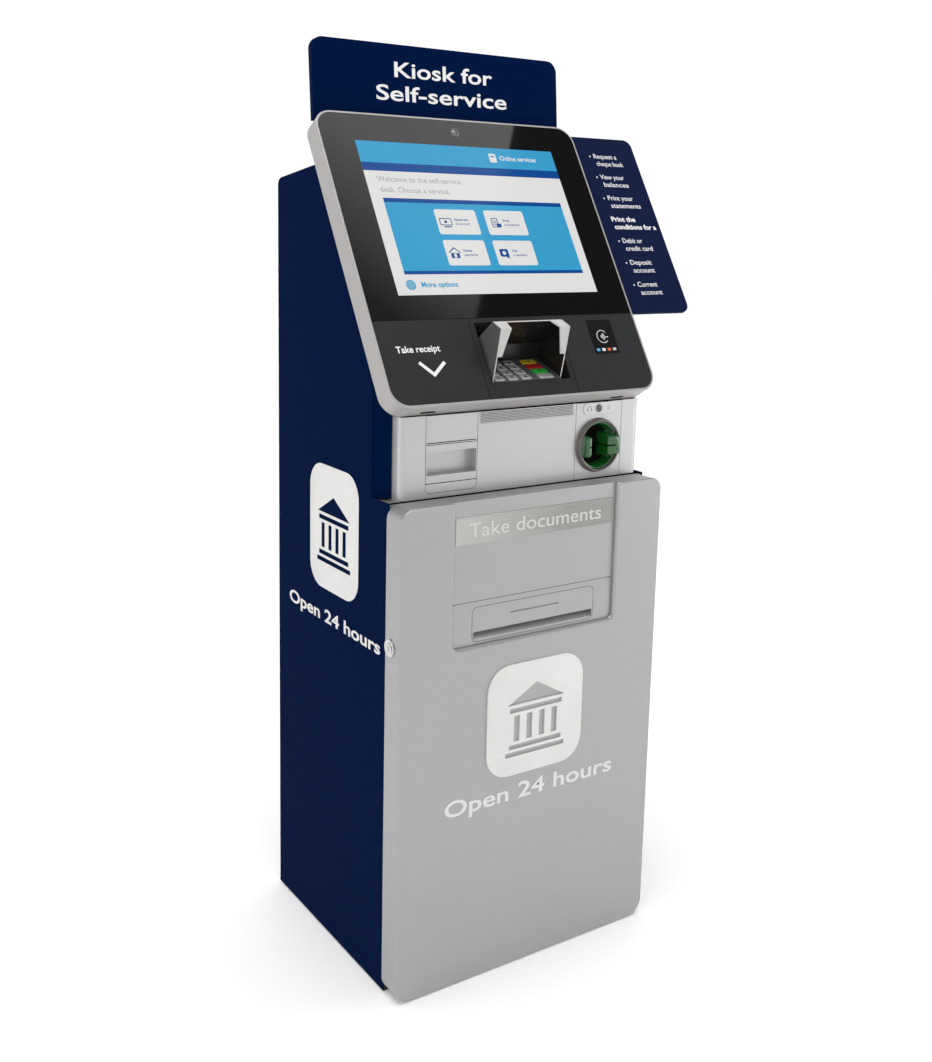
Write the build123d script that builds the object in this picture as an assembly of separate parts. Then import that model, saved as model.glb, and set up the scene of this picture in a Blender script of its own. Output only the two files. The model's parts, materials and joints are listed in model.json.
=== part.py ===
from build123d import *
import math
import os

# Self-service banking kiosk. Millimetres, +X to the user's right, +Y to the
# rear, +Z up. Every sub-part is laid out from the door's front face (y = 0)
# and shifted by half the cabinet depth on export, so the origin is the centre
# of the floor anchor pattern, on the floor.

# ---- overall sizes
DOOR_W = 500.0
DOOR_H = 782.0
DOOR_T = 42.0
CAB_D = 415.0
SIDE_INSET = 3.3
SHEET = 2.0
REAR_INSET = 2.0
FASCIA_H = 128.5
FASCIA_SET = 5.0
FASCIA_LEFT_IN = 21.7
FASCIA_RIGHT_IN = 10.7
HEAD_TILT = 30.76
HEAD_OVERHANG = 3.45
HEAD_L = 503.75
HEAD_T = 36.0
HEAD_Y = 21.6
HEAD_RISE = 18.4
HEAD_R = 32.0
TOPPER_W = 482.0
TOPPER_RISE = 123.0
TOPPER_LEAN = 4.92
SIGN_W = 177.5
SIGN_S0 = 155.5
SIGN_S1 = 511.5

# ---- clearances and walls
GAP = 0.3
PLATE_T = 3.0
PLINTH_WALL = 3.0
FRAME_GAP = 0.4
RAIL = 20.0
RIM = 3.5

# ---- door
DOOR_R_TOP = 21.0
DOOR_R_BOTTOM = 28.0
DOOR_WALL = 4.0
DOOR_SKIN = 12.0
RECESS_HALF = 156.5
RECESS_Z = 556.0
RECESS_D = 7.0
RECESS_ROLL = 5.0
PANEL_SEAM = 625.0
OUTLET_HALF = 118.7
OUTLET_Z0 = 560.3
OUTLET_Z1 = 615.2
SHEET_SLOT_Z = 583.0
SIGN_PLATE_HALF = 152.0
SIGN_PLATE_Z0 = 715.7
SIGN_PLATE_Z1 = 758.0
EMBLEM_X = (-92.0, 96.0)
EMBLEM_Z = (330.0, 514.0)
LOCK_Y = 28.0
LOCK_Z = 569.0
LOCK_R = 8.0
HINGE_OUT = 4.0
HINGE_R = 4.3
HINGE_PIN_R = 2.5
HINGE_ZS = (90.0, 400.0, DOOR_H - 92.0)

# ---- fascia between the door and the head
RECEIPT_X0 = -181.6
RECEIPT_X1 = -88.8
GRILLE_X0 = -85.7
GRILLE_X1 = 97.3
CARD_X0 = 102.3
CARD_X1 = 198.0
CARD_X = 148.5
CARD_RISE = 57.5
CARD_W = 54.6
CARD_SLOT = 2.4
CARD_R = 39.3
JACK_RISE = 118.0
JACK_R = 1.8
ROLL_Y = 155.0
ROLL_RISE = 58.5
ROLL_R = 36.0
ROLL_AXLE_R = 6.0

# ---- head face, s runs up the face and n out of it
GLASS_S = 139.0
SEAM_A = -82.0
SEAM_B = 89.0
WELL_X0 = -72.3
WELL_X1 = 80.5
WELL_S0 = 29.5
WELL_S1 = 131.0
READER_X0 = 145.0
READER_X1 = 199.4
READER_S0 = 66.2
READER_S1 = 130.8
CAMERA_X = 3.3
CAMERA_S = 478.0
CAMERA_R = 8.2
LCD_HALF = 205.0
LCD_S0 = 166.0
LCD_S1 = 464.0
HEAD_HINGE_S = 440.0
HEAD_HINGE_DROP = 10.0
HEAD_PIN_R = 2.0
KEY_S = 39.72
KEY_N = -5.92
KEY_DIP = 38.64
KEY_ROW = 16.0
KEY_COL = 25.5
KEY_X = -52.5
KEY_W = 19.0
KEY_D = 12.5
FN_X = 37.0
FN_W = 28.0
SHIELD_HALF = 66.0
SHIELD_T = 2.0
FLANGE = 20.0

# ---- cabinet inside and rear
SHELF_BACK = 205.0
PRINTER_FLOOR = 500.0
FAN_X = 120.0
FAN_Z = 346.0
FAN_SIDE = 46.0
FAN_BORE = 43.0
FAN_DEEP = 25.0
FAN_SHAFT_R = 2.0
INLET_X = -150.0
INLET_Z = 80.0
ANCHOR_X = 380.0
ANCHOR_Y = 300.0
ANCHOR_R = 7.0

# ---- places that follow from the sizes
CAB_HALF = DOOR_W / 2 - SIDE_INSET
INNER = CAB_HALF - SHEET - GAP
FRAME_HALF = INNER - PLINTH_WALL - FRAME_GAP
REAR = CAB_D - REAR_INSET
REAR_IN = REAR - SHEET
SHELF_Z = DOOR_H - 2.5
MID_FRONT = DOOR_T + FASCIA_SET
MID_X0 = -(CAB_HALF - FASCIA_LEFT_IN)
MID_X1 = CAB_HALF - FASCIA_RIGHT_IN
MID_TOP = SHELF_Z + FASCIA_H
CARD_Z = SHELF_Z + CARD_RISE
JACK_Z = SHELF_Z + JACK_RISE
ROLL_Z = SHELF_Z + ROLL_RISE
HEAD_W = DOOR_W + 2 * HEAD_OVERHANG
HEAD_Z = MID_TOP + HEAD_RISE
HINGE_X = DOOR_W / 2 + HINGE_OUT
HINGE_Y = DOOR_T + 2.0
SIGN_X0 = HEAD_W / 2 - 5.95
KEY_TILT = 90.0 - HEAD_TILT - KEY_DIP

ORIGIN_SHIFT = Pos(0, -CAB_D / 2, 0)
_s = math.sin(math.radians(HEAD_TILT))
_c = math.cos(math.radians(HEAD_TILT))
HEAD = Plane(origin=(0, HEAD_Y, HEAD_Z), x_dir=(1, 0, 0), z_dir=(0, -_c, _s))
_ks = math.sin(math.radians(KEY_TILT))
_kc = math.cos(math.radians(KEY_TILT))


def head_yz(s, n):
    return (HEAD_Y + s * _s - n * _c, HEAD_Z + s * _c + n * _s)


KEY_Y, KEY_Z = head_yz(KEY_S, KEY_N)
KEYPAD = Plane(origin=(0, KEY_Y, KEY_Z), x_dir=(1, 0, 0), z_dir=(0, -_ks, _kc))
ROOF_Y, ROOF_Z = head_yz(436.16, -53.57)
ROOF_SLOPE = 0.1363


def top_line(y):
    return ROOF_Z - ROOF_SLOPE * (y - ROOF_Y)


EAVES_Y = CAB_D - 11.0
REAR_TOP = top_line(EAVES_Y) - 9.36


# ---- small helpers
def block(x0, x1, y0, y1, z0, z1):
    return Pos((x0 + x1) / 2, (y0 + y1) / 2, (z0 + z1) / 2) * Box(x1 - x0, y1 - y0, z1 - z0)


def prism_x(points, x0, x1):
    face = make_face(Polyline(*[(x0, y, z) for y, z in points], close=True))
    return extrude(face, amount=x1 - x0, dir=(1, 0, 0))


def prism_z(points, z0, z1):
    face = make_face(Polyline(*[(x, y, z0) for x, y in points], close=True))
    return extrude(face, amount=z1 - z0, dir=(0, 0, 1))


def front_plate(x0, x1, z0, z1, y0, y1, r):
    plane = Plane(origin=((x0 + x1) / 2, y1, (z0 + z1) / 2), x_dir=(1, 0, 0), z_dir=(0, -1, 0))
    return extrude(plane * RectangleRounded(x1 - x0, z1 - z0, r), amount=y1 - y0)


def face_plate(x0, x1, s0, s1, n0, n1, r):
    sketch = Pos((x0 + x1) / 2, (s0 + s1) / 2, n0) * RectangleRounded(x1 - x0, s1 - s0, r)
    return extrude(sketch, amount=n1 - n0)


def rod_x(y, z, r, x0, x1):
    return Pos((x0 + x1) / 2, y, z) * Rot(0, 90, 0) * Cylinder(r, x1 - x0)


def rod_y(x, z, r, y0, y1):
    return Pos(x, (y0 + y1) / 2, z) * Rot(90, 0, 0) * Cylinder(r, y1 - y0)


def rod_z(x, y, r, z0, z1):
    return Pos(x, y, (z0 + z1) / 2) * Cylinder(r, z1 - z0)


def slot_y(x, z, w, h, y0, y1):
    return front_plate(x - w / 2, x + w / 2, z - h / 2, z + h / 2, y0, y1, h / 2 - 0.01)


def on_head(shape):
    return HEAD.location * shape


def save(name, shape):
    os.makedirs("parts", exist_ok=True)
    solids = shape.solids() if hasattr(shape, "solids") else shape
    moved = [ORIGIN_SHIFT * s for s in solids]
    export_step(moved[0] if len(moved) == 1 else Compound(children=moved), "parts/" + name + ".step")


# ---- cabinet
def base_plinth():
    front, rear = DOOR_T + 3, REAR_IN
    tray = block(-INNER, INNER, front, rear, 0, 40)
    tray -= block(-INNER + PLINTH_WALL, INNER - PLINTH_WALL, front + 3, rear - 3, 4, 41)
    for x in (-ANCHOR_X / 2, ANCHOR_X / 2):
        for y in (-ANCHOR_Y / 2, ANCHOR_Y / 2):
            tray -= rod_z(x, CAB_D / 2 + y, ANCHOR_R, -1, 5)
    return tray - block(-60, 60, CAB_D - 85, CAB_D - 35, -1, 5)


def upright(x, y, dx, dy, z1):
    leg, wall = 25, 3
    post = block(min(x, x + dx * leg), max(x, x + dx * leg), min(y, y + dy * wall), max(y, y + dy * wall), 4, z1)
    post += block(min(x, x + dx * wall), max(x, x + dx * wall), min(y, y + dy * leg), max(y, y + dy * leg), 4, z1)
    return post


def inner_frame():
    front, rear = DOOR_T + 6.3, REAR_IN - 3.3
    wall = 3
    low_top, high_top = SHELF_Z - 5.5, REAR_TOP - 9
    frame = upright(-FRAME_HALF, front, 1, 1, low_top) + upright(FRAME_HALF, front, -1, 1, low_top)
    frame += upright(-FRAME_HALF, rear, 1, -1, high_top) + upright(FRAME_HALF, rear, -1, -1, high_top)
    for z in (PRINTER_FLOOR - wall, SHELF_Z - 27.5):
        frame += block(-FRAME_HALF, FRAME_HALF, front, front + wall, z - RAIL, z)
        frame += block(-FRAME_HALF, FRAME_HALF, rear - wall, rear, z - RAIL, z)
        frame += block(-FRAME_HALF, -FRAME_HALF + wall, front, rear, z - RAIL, z)
        frame += block(FRAME_HALF - wall, FRAME_HALF, front, rear, z - RAIL, z)
    frame += block(-FRAME_HALF, FRAME_HALF, rear - wall, rear, high_top - 30, high_top)
    frame += block(-FRAME_HALF, FRAME_HALF, front, rear - 60, PRINTER_FLOOR - wall, PRINTER_FLOOR)
    return frame


def side_profile():
    outline = [(DOOR_T + 1, 3), (CAB_D, 3), (CAB_D, REAR_TOP), (CAB_D - 4, REAR_TOP + 6)]
    outline += [(EAVES_Y, top_line(EAVES_Y))]
    y_top, _ = head_yz(429, -HEAD_T - 1.5)
    outline += [(y_top, top_line(y_top)), head_yz(77, -HEAD_T - 1.5)]
    y_low = outline[-1][0]
    outline += [(y_low, SHELF_Z + 3.5), (DOOR_T + 1, SHELF_Z + 3.5)]
    return outline


def side_panel(side, tuck_x):
    x0 = -CAB_HALF if side < 0 else CAB_HALF - SHEET
    panel = prism_x(side_profile(), x0, x0 + SHEET)
    run = CAB_HALF - tuck_x
    y_a = 95.0
    y_b = y_a - run * 1.22
    nx, ny = 0.773 * SHEET, 0.634 * SHEET
    lip = [
        (side * CAB_HALF, y_a),
        (side * tuck_x, y_b),
        (side * (tuck_x - nx), y_b + ny),
        (side * (CAB_HALF - nx), y_a + ny),
    ]
    flare = prism_z(lip, SHELF_Z + 3.5, HEAD_Z + 58.6)
    above = on_head(block(-HEAD_W, HEAD_W, -60, 300, -HEAD_T - 1.5, 300))
    return panel + (flare - above)


def left_side_panel():
    return side_panel(-1, -MID_X0 + 2.0)


def right_side_panel():
    return side_panel(1, MID_X1 + 2.2)


def rear_panel():
    panel = block(-INNER, INNER, REAR_IN, REAR, 3, REAR_TOP - 1)
    for i in range(6):
        panel -= slot_y(FAN_X, FAN_Z - 30 + 12 * i, 70, 5, REAR - 3, REAR + 1)
    for i in range(7):
        panel -= slot_y(0, REAR_TOP - 149 + 14 * i, 160, 5, REAR - 3, REAR + 1)
    half_w, half_h = 25 + GAP, 14 + GAP
    return panel - front_plate(
        INLET_X - half_w, INLET_X + half_w, INLET_Z - half_h, INLET_Z + half_h, REAR - 3, REAR + 1, 3
    )


def hinge_axis():
    return head_yz(HEAD_HINGE_S, -HEAD_T - HEAD_HINGE_DROP)


def top_cover():
    y_top, _ = head_yz(429, -HEAD_T - 1.5)
    outer = [(y_top, top_line(y_top)), (EAVES_Y, top_line(EAVES_Y)), (CAB_D - 4, REAR_TOP + 6)]
    outer += [(CAB_D, REAR_TOP), (CAB_D, REAR_TOP - 0.7)]
    inner = [(CAB_D - SHEET, REAR_TOP - 0.7), (CAB_D - 5.2, REAR_TOP + 4.3)]
    inner += [(EAVES_Y - 0.6, top_line(EAVES_Y) - SHEET), (y_top, top_line(y_top) - SHEET)]
    cover = prism_x(outer + inner, -INNER, INNER)
    ya, za = hinge_axis()
    for x0, x1, p0, p1 in ((-170, -150, -150, -131), (150, 170, 131, 150)):
        cover += rod_x(ya, za, 4, x0, x1)
        cover += block(x0, x1, ya - 3, ya + 4, top_line(ya) - 1.5, za)
        cover += rod_x(ya, za, HEAD_PIN_R, p0, p1)
    return cover


def document_printer():
    floor = PRINTER_FLOOR
    body = block(-160, 160, 70, 330, floor, floor + 200)
    half = OUTLET_HALF - 6.7
    body += block(-half, half, DOOR_T + 4, 71, SHEET_SLOT_Z - 7, SHEET_SLOT_Z + 23)
    body -= block(-half + 6, half - 6, DOOR_T + 3, 90, SHEET_SLOT_Z, SHEET_SLOT_Z + 5.5)
    body -= block(-150, 150, 69, 71, floor + 40, floor + 42)
    body -= block(-150, 150, 69, 71, floor + 140, floor + 142)
    return body


def pc_core():
    core = block(-120, 140, 120, 370, 24, 200)
    core += block(-100, -80, 120, 370, 4, 25) + block(100, 120, 120, 370, 4, 25)
    for i in range(5):
        core -= block(-90, 90, 119, 123, 50 + 24 * i, 54 + 24 * i)
    return core


def fan_frame():
    z, front = FAN_Z, REAR_IN - FAN_DEEP
    frame = block(FAN_X - FAN_SIDE, FAN_X + FAN_SIDE, front, REAR_IN, z - FAN_SIDE, z + FAN_SIDE)
    frame -= rod_y(FAN_X, z, FAN_BORE, front - 1, REAR_IN + 1)
    frame += block(FAN_X - FAN_SIDE, FAN_X + FAN_SIDE, REAR_IN - 3, REAR_IN, z - 3, z + 3)
    frame += block(FAN_X - 3, FAN_X + 3, REAR_IN - 3, REAR_IN, z - FAN_SIDE, z + FAN_SIDE)
    frame += rod_y(FAN_X, z, 14, REAR_IN - 4, REAR_IN)
    frame += rod_y(FAN_X, z, FAN_SHAFT_R, REAR_IN - 20, REAR_IN - 3)
    return frame


def fan_rotor():
    z = FAN_Z
    rotor = rod_y(FAN_X, z, 17, REAR_IN - 22, REAR_IN - 4.5)
    blade = Pos(FAN_X, REAR_IN - 13, z + 27) * Rot(0, 0, 32) * Box(14, 1.8, 28)
    for i in range(7):
        turn = Pos(FAN_X, 0, z) * Rot(0, 360 / 7 * i, 0) * Pos(-FAN_X, 0, -z)
        rotor += turn * blade
    return rotor - rod_y(FAN_X, z, FAN_SHAFT_R + 0.05, REAR_IN - 20.5, REAR_IN - 4)


def power_inlet():
    inlet = front_plate(INLET_X - 25, INLET_X + 25, INLET_Z - 14, INLET_Z + 14, REAR - 22, REAR, 3)
    inlet -= front_plate(INLET_X - 13, INLET_X + 13, INLET_Z - 9, INLET_Z + 9, REAR - 16, REAR + 1, 4)
    for x, z in ((-7, -2), (0, 3), (7, -2)):
        x, z = INLET_X + x, INLET_Z + z
        inlet += block(x - 1, x + 1, REAR - 18, REAR - 3, z - 2, z + 2)
    return inlet


# ---- fascia between the door and the head
def fascia_shell(inset, z0, z1):
    y0 = MID_FRONT + inset
    y1 = 120 + (1 if inset else 0)
    body = block(MID_X0 + inset, MID_X1 - inset, y0, y1, z0, z1)
    edges = body.edges().filter_by(Axis.Z).group_by(Axis.Y)[0]
    return fillet(edges, 10 - inset)


def mid_frame():
    y0, y1 = MID_FRONT - 1, MID_FRONT + 4
    shell = fascia_shell(0, SHELF_Z - 1, MID_TOP) - fascia_shell(PLATE_T, SHELF_Z - 2, MID_TOP + 1)
    shelf_half = INNER - 1.4
    shell += block(-shelf_half, shelf_half, DOOR_T + 1.5, SHELF_BACK, SHELF_Z - 5.5, SHELF_Z)
    shell -= front_plate(RECEIPT_X0 - GAP, RECEIPT_X1 + GAP, SHELF_Z + 10.5, MID_TOP + 32, y0, y1, 8)
    shell -= block(GRILLE_X0 - GAP, GRILLE_X1 + GAP, y0, y1, MID_TOP - 19, MID_TOP + 1)
    shell -= block(CARD_X0 - GAP, CARD_X1 + GAP, y0, y1, SHELF_Z, MID_TOP + 1)
    return shell - block(-60, 60, 90, 180, SHELF_Z - 6, SHELF_Z + 1)


def receipt_bezel():
    x0, x1 = RECEIPT_X0, RECEIPT_X1
    front = MID_FRONT - 1
    body = front_plate(x0, x1, SHELF_Z + 10.8, MID_TOP + 22, MID_FRONT, MID_FRONT + 21, 7.7)
    body -= block(x0 - 20, x1 + 20, front, MID_FRONT + 22, MID_TOP - 0.5, MID_TOP + 32)
    body -= block(x0 + 2, x1 - 2, front, MID_FRONT + 17, SHELF_Z + 37.5, SHELF_Z + 73)
    body -= block(x0 + 2, x1 - 2, front, MID_FRONT + 22, SHELF_Z + 85.9, SHELF_Z + 87.4)
    body -= block(x0 - 1, x1 + 1, front, MID_FRONT + 1.2, SHELF_Z + 83.5, SHELF_Z + 84.5)
    body -= block(x0 - 1, x1 + 1, front, MID_FRONT + 3, SHELF_Z + 24.7, SHELF_Z + 26)
    return body


def speaker_grille():
    x0, x1 = GRILLE_X0, GRILLE_X1
    z0, z1 = MID_TOP - 18.7, MID_TOP - 0.5
    plate = block(x0, x1, MID_FRONT, MID_FRONT + 2, z0, z1)
    for i in range(6):
        z = z0 + 1.5 + 2.8 * i
        plate -= block(x0 + 3.7, x1 - 3.3, MID_FRONT - 1, MID_FRONT + 3, z, z + 1.4)
    plate += block(x0, x0 + 3.7, MID_FRONT + 2, MID_FRONT + 28, z0, z1)
    plate += block(x0, 20, MID_FRONT + 26, MID_FRONT + 28, z0, z1)
    return plate


def card_panel():
    y0, y1 = MID_FRONT - 1, MID_FRONT + 4
    panel = block(CARD_X0, CARD_X1, MID_FRONT, MID_FRONT + PLATE_T, SHELF_Z + GAP, MID_TOP - 0.5)
    panel -= rod_y(CARD_X, CARD_Z, CARD_R + 1.8, y0, y1)
    return panel - slot_y(CARD_X, JACK_Z, 64.8, 19.9, y0, y1)


def card_bezel_ring():
    r, y = CARD_R + GAP, MID_FRONT
    profile = [(r, y - 8), (r + 1.4, y - 8.6), (r + 2.4, y - 8), (r + 5.4, y)]
    profile += [(r + 1.2, y), (r + 1.2, y + 10), (r, y + 10)]
    face = make_face(Polyline(*[(a, b, 0) for a, b in profile], close=True))
    return Pos(CARD_X, 0, CARD_Z) * revolve(face, axis=Axis.Y)


def card_guide():
    y = MID_FRONT
    half = CARD_SLOT / 2
    body = rod_y(CARD_X, CARD_Z, CARD_R, y - 4, y + 15)
    body -= block(CARD_X - 20, CARD_X + 8, y - 5, y + 11, CARD_Z - 33, CARD_Z + 33)
    body += front_plate(CARD_X + 9, CARD_X + 37.3, CARD_Z - 16.5, CARD_Z + 16.5, y - 15, y + 3, 5)
    body += front_plate(CARD_X - 33, CARD_X - 21, CARD_Z - 17, CARD_Z + 17, y - 15, y + 3, 4)
    return body - block(CARD_X - CARD_W / 2, CARD_X + CARD_W / 2, y - 16, y + 16, CARD_Z - half, CARD_Z + half)


def audio_socket():
    y = MID_FRONT
    body = slot_y(CARD_X, JACK_Z, 64.2, 19.3, y - 1, y + 2.5)
    body += rod_y(CARD_X, JACK_Z, 5, y - 2.4, y + 15)
    return body - rod_y(CARD_X, JACK_Z, JACK_R, y - 3, y + 11.6)


def card_reader():
    front = MID_FRONT + 15.3
    half = CARD_SLOT / 2
    body = block(CARD_X - 45, CARD_X + 45, front, 190, CARD_Z - 22, CARD_Z + 22)
    body -= block(CARD_X - CARD_W / 2, CARD_X + CARD_W / 2, front - 1, 150, CARD_Z - half, CARD_Z + half)
    for x in (CARD_X - 35, CARD_X + 30):
        body += block(x, x + 5, 75, 180, SHELF_Z, CARD_Z - 21)
    return body


def receipt_printer():
    x0, x1 = RECEIPT_X0 - 0.4, RECEIPT_X1 + 0.4
    front, back = MID_FRONT + 22, 202
    body = block(x0, x1, front, back, SHELF_Z, SHELF_Z + 6.5)
    body += block(x0, x0 + 4, front, back, SHELF_Z + 5.5, SHELF_Z + 100.5)
    body += block(x1 - 4, x1, front, back, SHELF_Z + 5.5, SHELF_Z + 100.5)
    body += block(x0 + 3, x1 - 2.6, front, front + 23, SHELF_Z + 65.5, SHELF_Z + 108.5)
    body -= block(x0 + 5, x1 - 4.6, front - 1, front + 24, SHELF_Z + 85.9, SHELF_Z + 87.9)
    return body + rod_x(ROLL_Y, ROLL_Z, ROLL_AXLE_R, x0 + 3, x1 - 2.6)


def paper_roll():
    x0, x1 = RECEIPT_X0 + 6.6, RECEIPT_X1 - 6.2
    bore = ROLL_AXLE_R + 0.08
    return rod_x(ROLL_Y, ROLL_Z, ROLL_R, x0, x1) - rod_x(ROLL_Y, ROLL_Z, bore, x0 - 1, x1 + 1)


# ---- door
def door_outline(inset, y0, y1):
    half = DOOR_W / 2 - inset
    body = block(-half, half, y0, y1, 2 + inset, DOOR_H - inset)
    edges = body.edges().filter_by(Axis.Y).group_by(Axis.Z)
    body = fillet(edges[0], DOOR_R_BOTTOM - inset)
    edges = body.edges().filter_by(Axis.Y).group_by(Axis.Z)
    return fillet(edges[-1], DOOR_R_TOP - inset)


def on_recess_rim(edge):
    at = edge.center()
    return abs(at.X) < RECESS_HALF + 13 and RECESS_Z - 16 < at.Z < DOOR_H - 1.5


def door_cover():
    body = door_outline(0, 0, DOOR_T)
    body -= door_outline(DOOR_WALL, DOOR_SKIN, DOOR_T + 1)
    body -= front_plate(-RECESS_HALF, RECESS_HALF, RECESS_Z, DOOR_H + 118, -1, RECESS_D, 9)
    body = fillet([e for e in body.edges().group_by(Axis.Y)[0] if on_recess_rim(e)], RECESS_ROLL)
    body = chamfer([e for e in body.edges().group_by(Axis.Y)[0] if outer_rim(e)], 1.2)
    half = RECESS_HALF - GAP
    body -= front_plate(-half, half, RECESS_Z + 0.2, PANEL_SEAM, RECESS_D - 1, RECESS_D + 3, 8.5)
    half = OUTLET_HALF + 5.3
    body -= front_plate(-half, half, OUTLET_Z0 - 2.8, OUTLET_Z1 + 4.8, RECESS_D + 2, DOOR_SKIN + 1, 6)
    x = -DOOR_W / 2
    return body - rod_x(LOCK_Y, LOCK_Z, LOCK_R + 2.3, x - 1, x + 5)


def outer_rim(edge):
    at = edge.center()
    on_side = abs(at.X) > DOOR_W / 2 - DOOR_R_BOTTOM - 1
    return on_side or at.Z < 2 + DOOR_R_BOTTOM or at.Z > DOOR_H - 1.5


def door_liner():
    liner = door_outline(DOOR_WALL + GAP, DOOR_T - 3.5, DOOR_T - 1.5)
    half = OUTLET_HALF - 4.7
    liner -= front_plate(-half, half, OUTLET_Z0 + 5.7, OUTLET_Z1 - 5.2, DOOR_T - 4, DOOR_T - 1, 3)
    for i in range(3):
        liner -= slot_y(0, 160 + 60 * i, 260, 8, DOOR_T - 4, DOOR_T - 1)
    return liner


def document_panel():
    edge = RECESS_HALF - GAP - 0.2
    panel = front_plate(-edge, edge, RECESS_Z + 0.4, PANEL_SEAM - 0.6, RECESS_D, RECESS_D + PLATE_T, 8.3)
    half = OUTLET_HALF + GAP
    return panel - front_plate(-half, half, OUTLET_Z0 - GAP, OUTLET_Z1 + GAP, RECESS_D - 1, RECESS_D + 4, 10)


def document_bezel():
    body = front_plate(-OUTLET_HALF, OUTLET_HALF, OUTLET_Z0, OUTLET_Z1, RECESS_D, RECESS_D + 19, 9.7)
    back, lip, top = RECESS_D + 20, RECESS_D + 1.8, SHEET_SLOT_Z + 5
    chute = [(RECESS_D - 1, OUTLET_Z0 + 3.2), (RECESS_D - 1, top - 12), (lip, top - 12), (lip, top)]
    chute += [(back, top), (back, top - 5.5), (back - 8, top - 12), (back - 16, top - 20)]
    body -= prism_x(chute, -OUTLET_HALF + 2.5, OUTLET_HALF - 2.5)
    return body - block(-47, 47, RECESS_D - 1, RECESS_D + 2, OUTLET_Z1 - 19, OUTLET_Z1 - 17.2)


def sign_plate():
    half = SIGN_PLATE_HALF
    return block(-half, half, RECESS_D - 0.8, RECESS_D, SIGN_PLATE_Z0, SIGN_PLATE_Z1)


def door_emblem():
    return front_plate(*EMBLEM_X, *EMBLEM_Z, -3, 0, 42)


def door_hinge_pins():
    parts = None
    for z in HINGE_ZS:
        one = rod_z(HINGE_X, HINGE_Y, HINGE_R, z, z + 20)
        one += rod_z(HINGE_X, HINGE_Y, HINGE_PIN_R, z + 19, z + 40)
        one += block(CAB_HALF, CAB_HALF + 2, DOOR_T + 1.5, 80, z - 8, z + 20)
        one += block(CAB_HALF, HINGE_X, DOOR_T + 1.5, DOOR_T + 5.5, z, z + 20)
        parts = one if parts is None else parts + one
    return parts


def door_hinge_leaves():
    parts = None
    half = DOOR_W / 2
    for z in HINGE_ZS:
        one = rod_z(HINGE_X, HINGE_Y, HINGE_R, z + 20.3, z + 44)
        one += block(half, half + 2, 12, DOOR_T - 0.5, z + 20.3, z + 52)
        one += block(half, HINGE_X, DOOR_T - 4.5, DOOR_T - 0.5, z + 20.3, z + 44)
        one -= rod_z(HINGE_X, HINGE_Y, HINGE_PIN_R + 0.05, z + 20, z + 41)
        parts = one if parts is None else parts + one
    return parts


def lock_barrel():
    x = -DOOR_W / 2
    body = rod_x(LOCK_Y, LOCK_Z, LOCK_R + 5.3, x - 2.2, x) + rod_x(LOCK_Y, LOCK_Z, LOCK_R + 2, x - 1, x + 18)
    return body - rod_x(LOCK_Y, LOCK_Z, LOCK_R + 0.05, x - 3, x + 19)


def lock_plug():
    x = -DOOR_W / 2
    plug = rod_x(LOCK_Y, LOCK_Z, LOCK_R, x - 3.2, x + 22)
    plug -= block(x - 4, x - 1.2, LOCK_Y - 0.7, LOCK_Y + 0.7, LOCK_Z - 4, LOCK_Z + 4)
    return plug + block(x + 18.4, x + 21.4, LOCK_Y - 6, LOCK_Y + 6, LOCK_Z - 13, LOCK_Z + 4)


# ---- head
def head_shell():
    half = HEAD_W / 2
    back = -HEAD_T
    body = face_plate(-half, half, 0, HEAD_L, back, 0, HEAD_R)
    body = fillet(body.edges().group_by(Axis.Z)[0], 3.0)
    body = fillet(body.edges().group_by(Axis.Z)[-1], 1.2)
    body -= face_plate(-half + RIM, half - RIM, RIM, HEAD_L - RIM, -PLATE_T, 1, HEAD_R - RIM)
    body -= face_plate(-half + 12, half - 12, 12, HEAD_L - 12, back + 3, 1, HEAD_R - 12)
    body -= face_plate(-70, 78, 20, 112, back - 1, back + 4, 4)
    axis_n = back - HEAD_HINGE_DROP
    for x0, x1 in ((-149.6, -130), (130, 149.6)):
        knuckle = Pos((x0 + x1) / 2, HEAD_HINGE_S, axis_n) * Rot(0, 90, 0)
        body += block(x0, x1, HEAD_HINGE_S - 3.5, HEAD_HINGE_S + 3.5, axis_n, back + 0.5)
        body += knuckle * Cylinder(4, x1 - x0)
        body -= knuckle * Cylinder(HEAD_PIN_R + 0.06, x1 - x0 + 2)
    return on_head(body)


def display_glass():
    half = HEAD_W / 2 - RIM - 0.2
    glass = face_plate(-half, half, 60, HEAD_L - RIM - 0.2, -PLATE_T, -0.2, HEAD_R - RIM - 0.2)
    glass -= block(-HEAD_W, HEAD_W, 0, GLASS_S + GAP, -10, 10)
    return on_head(glass - Pos(CAMERA_X, CAMERA_S, 0) * Cylinder(CAMERA_R, 20))


def fascia(x0, x1):
    half = HEAD_W / 2 - RIM - 0.2
    plate = face_plate(-half, half, RIM + 0.2, 240, -PLATE_T, -0.2, HEAD_R - RIM - 0.2)
    return plate & block(x0, x1, 0, GLASS_S - GAP, -10, 10)


def fascia_left():
    return on_head(fascia(-HEAD_W, SEAM_A - GAP))


def fascia_centre():
    plate = fascia(SEAM_A + GAP, SEAM_B - GAP)
    plate -= block(WELL_X0, WELL_X1, WELL_S0, WELL_S1, -10, 10)
    wall = 1.5
    plate += block(WELL_X0 - wall, WELL_X0, WELL_S0, WELL_S1 + wall, -30, -2.5)
    plate += block(WELL_X1, WELL_X1 + wall, WELL_S0, WELL_S1 + wall, -30, -2.5)
    plate += block(WELL_X0 - wall, WELL_X1 + wall, WELL_S1, WELL_S1 + wall, -30, -2.5)
    return on_head(plate)


def fascia_right():
    plate = fascia(SEAM_B + GAP, HEAD_W)
    return on_head(plate - face_plate(READER_X0, READER_X1, READER_S0, READER_S1, -10, 10, 4))


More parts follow.
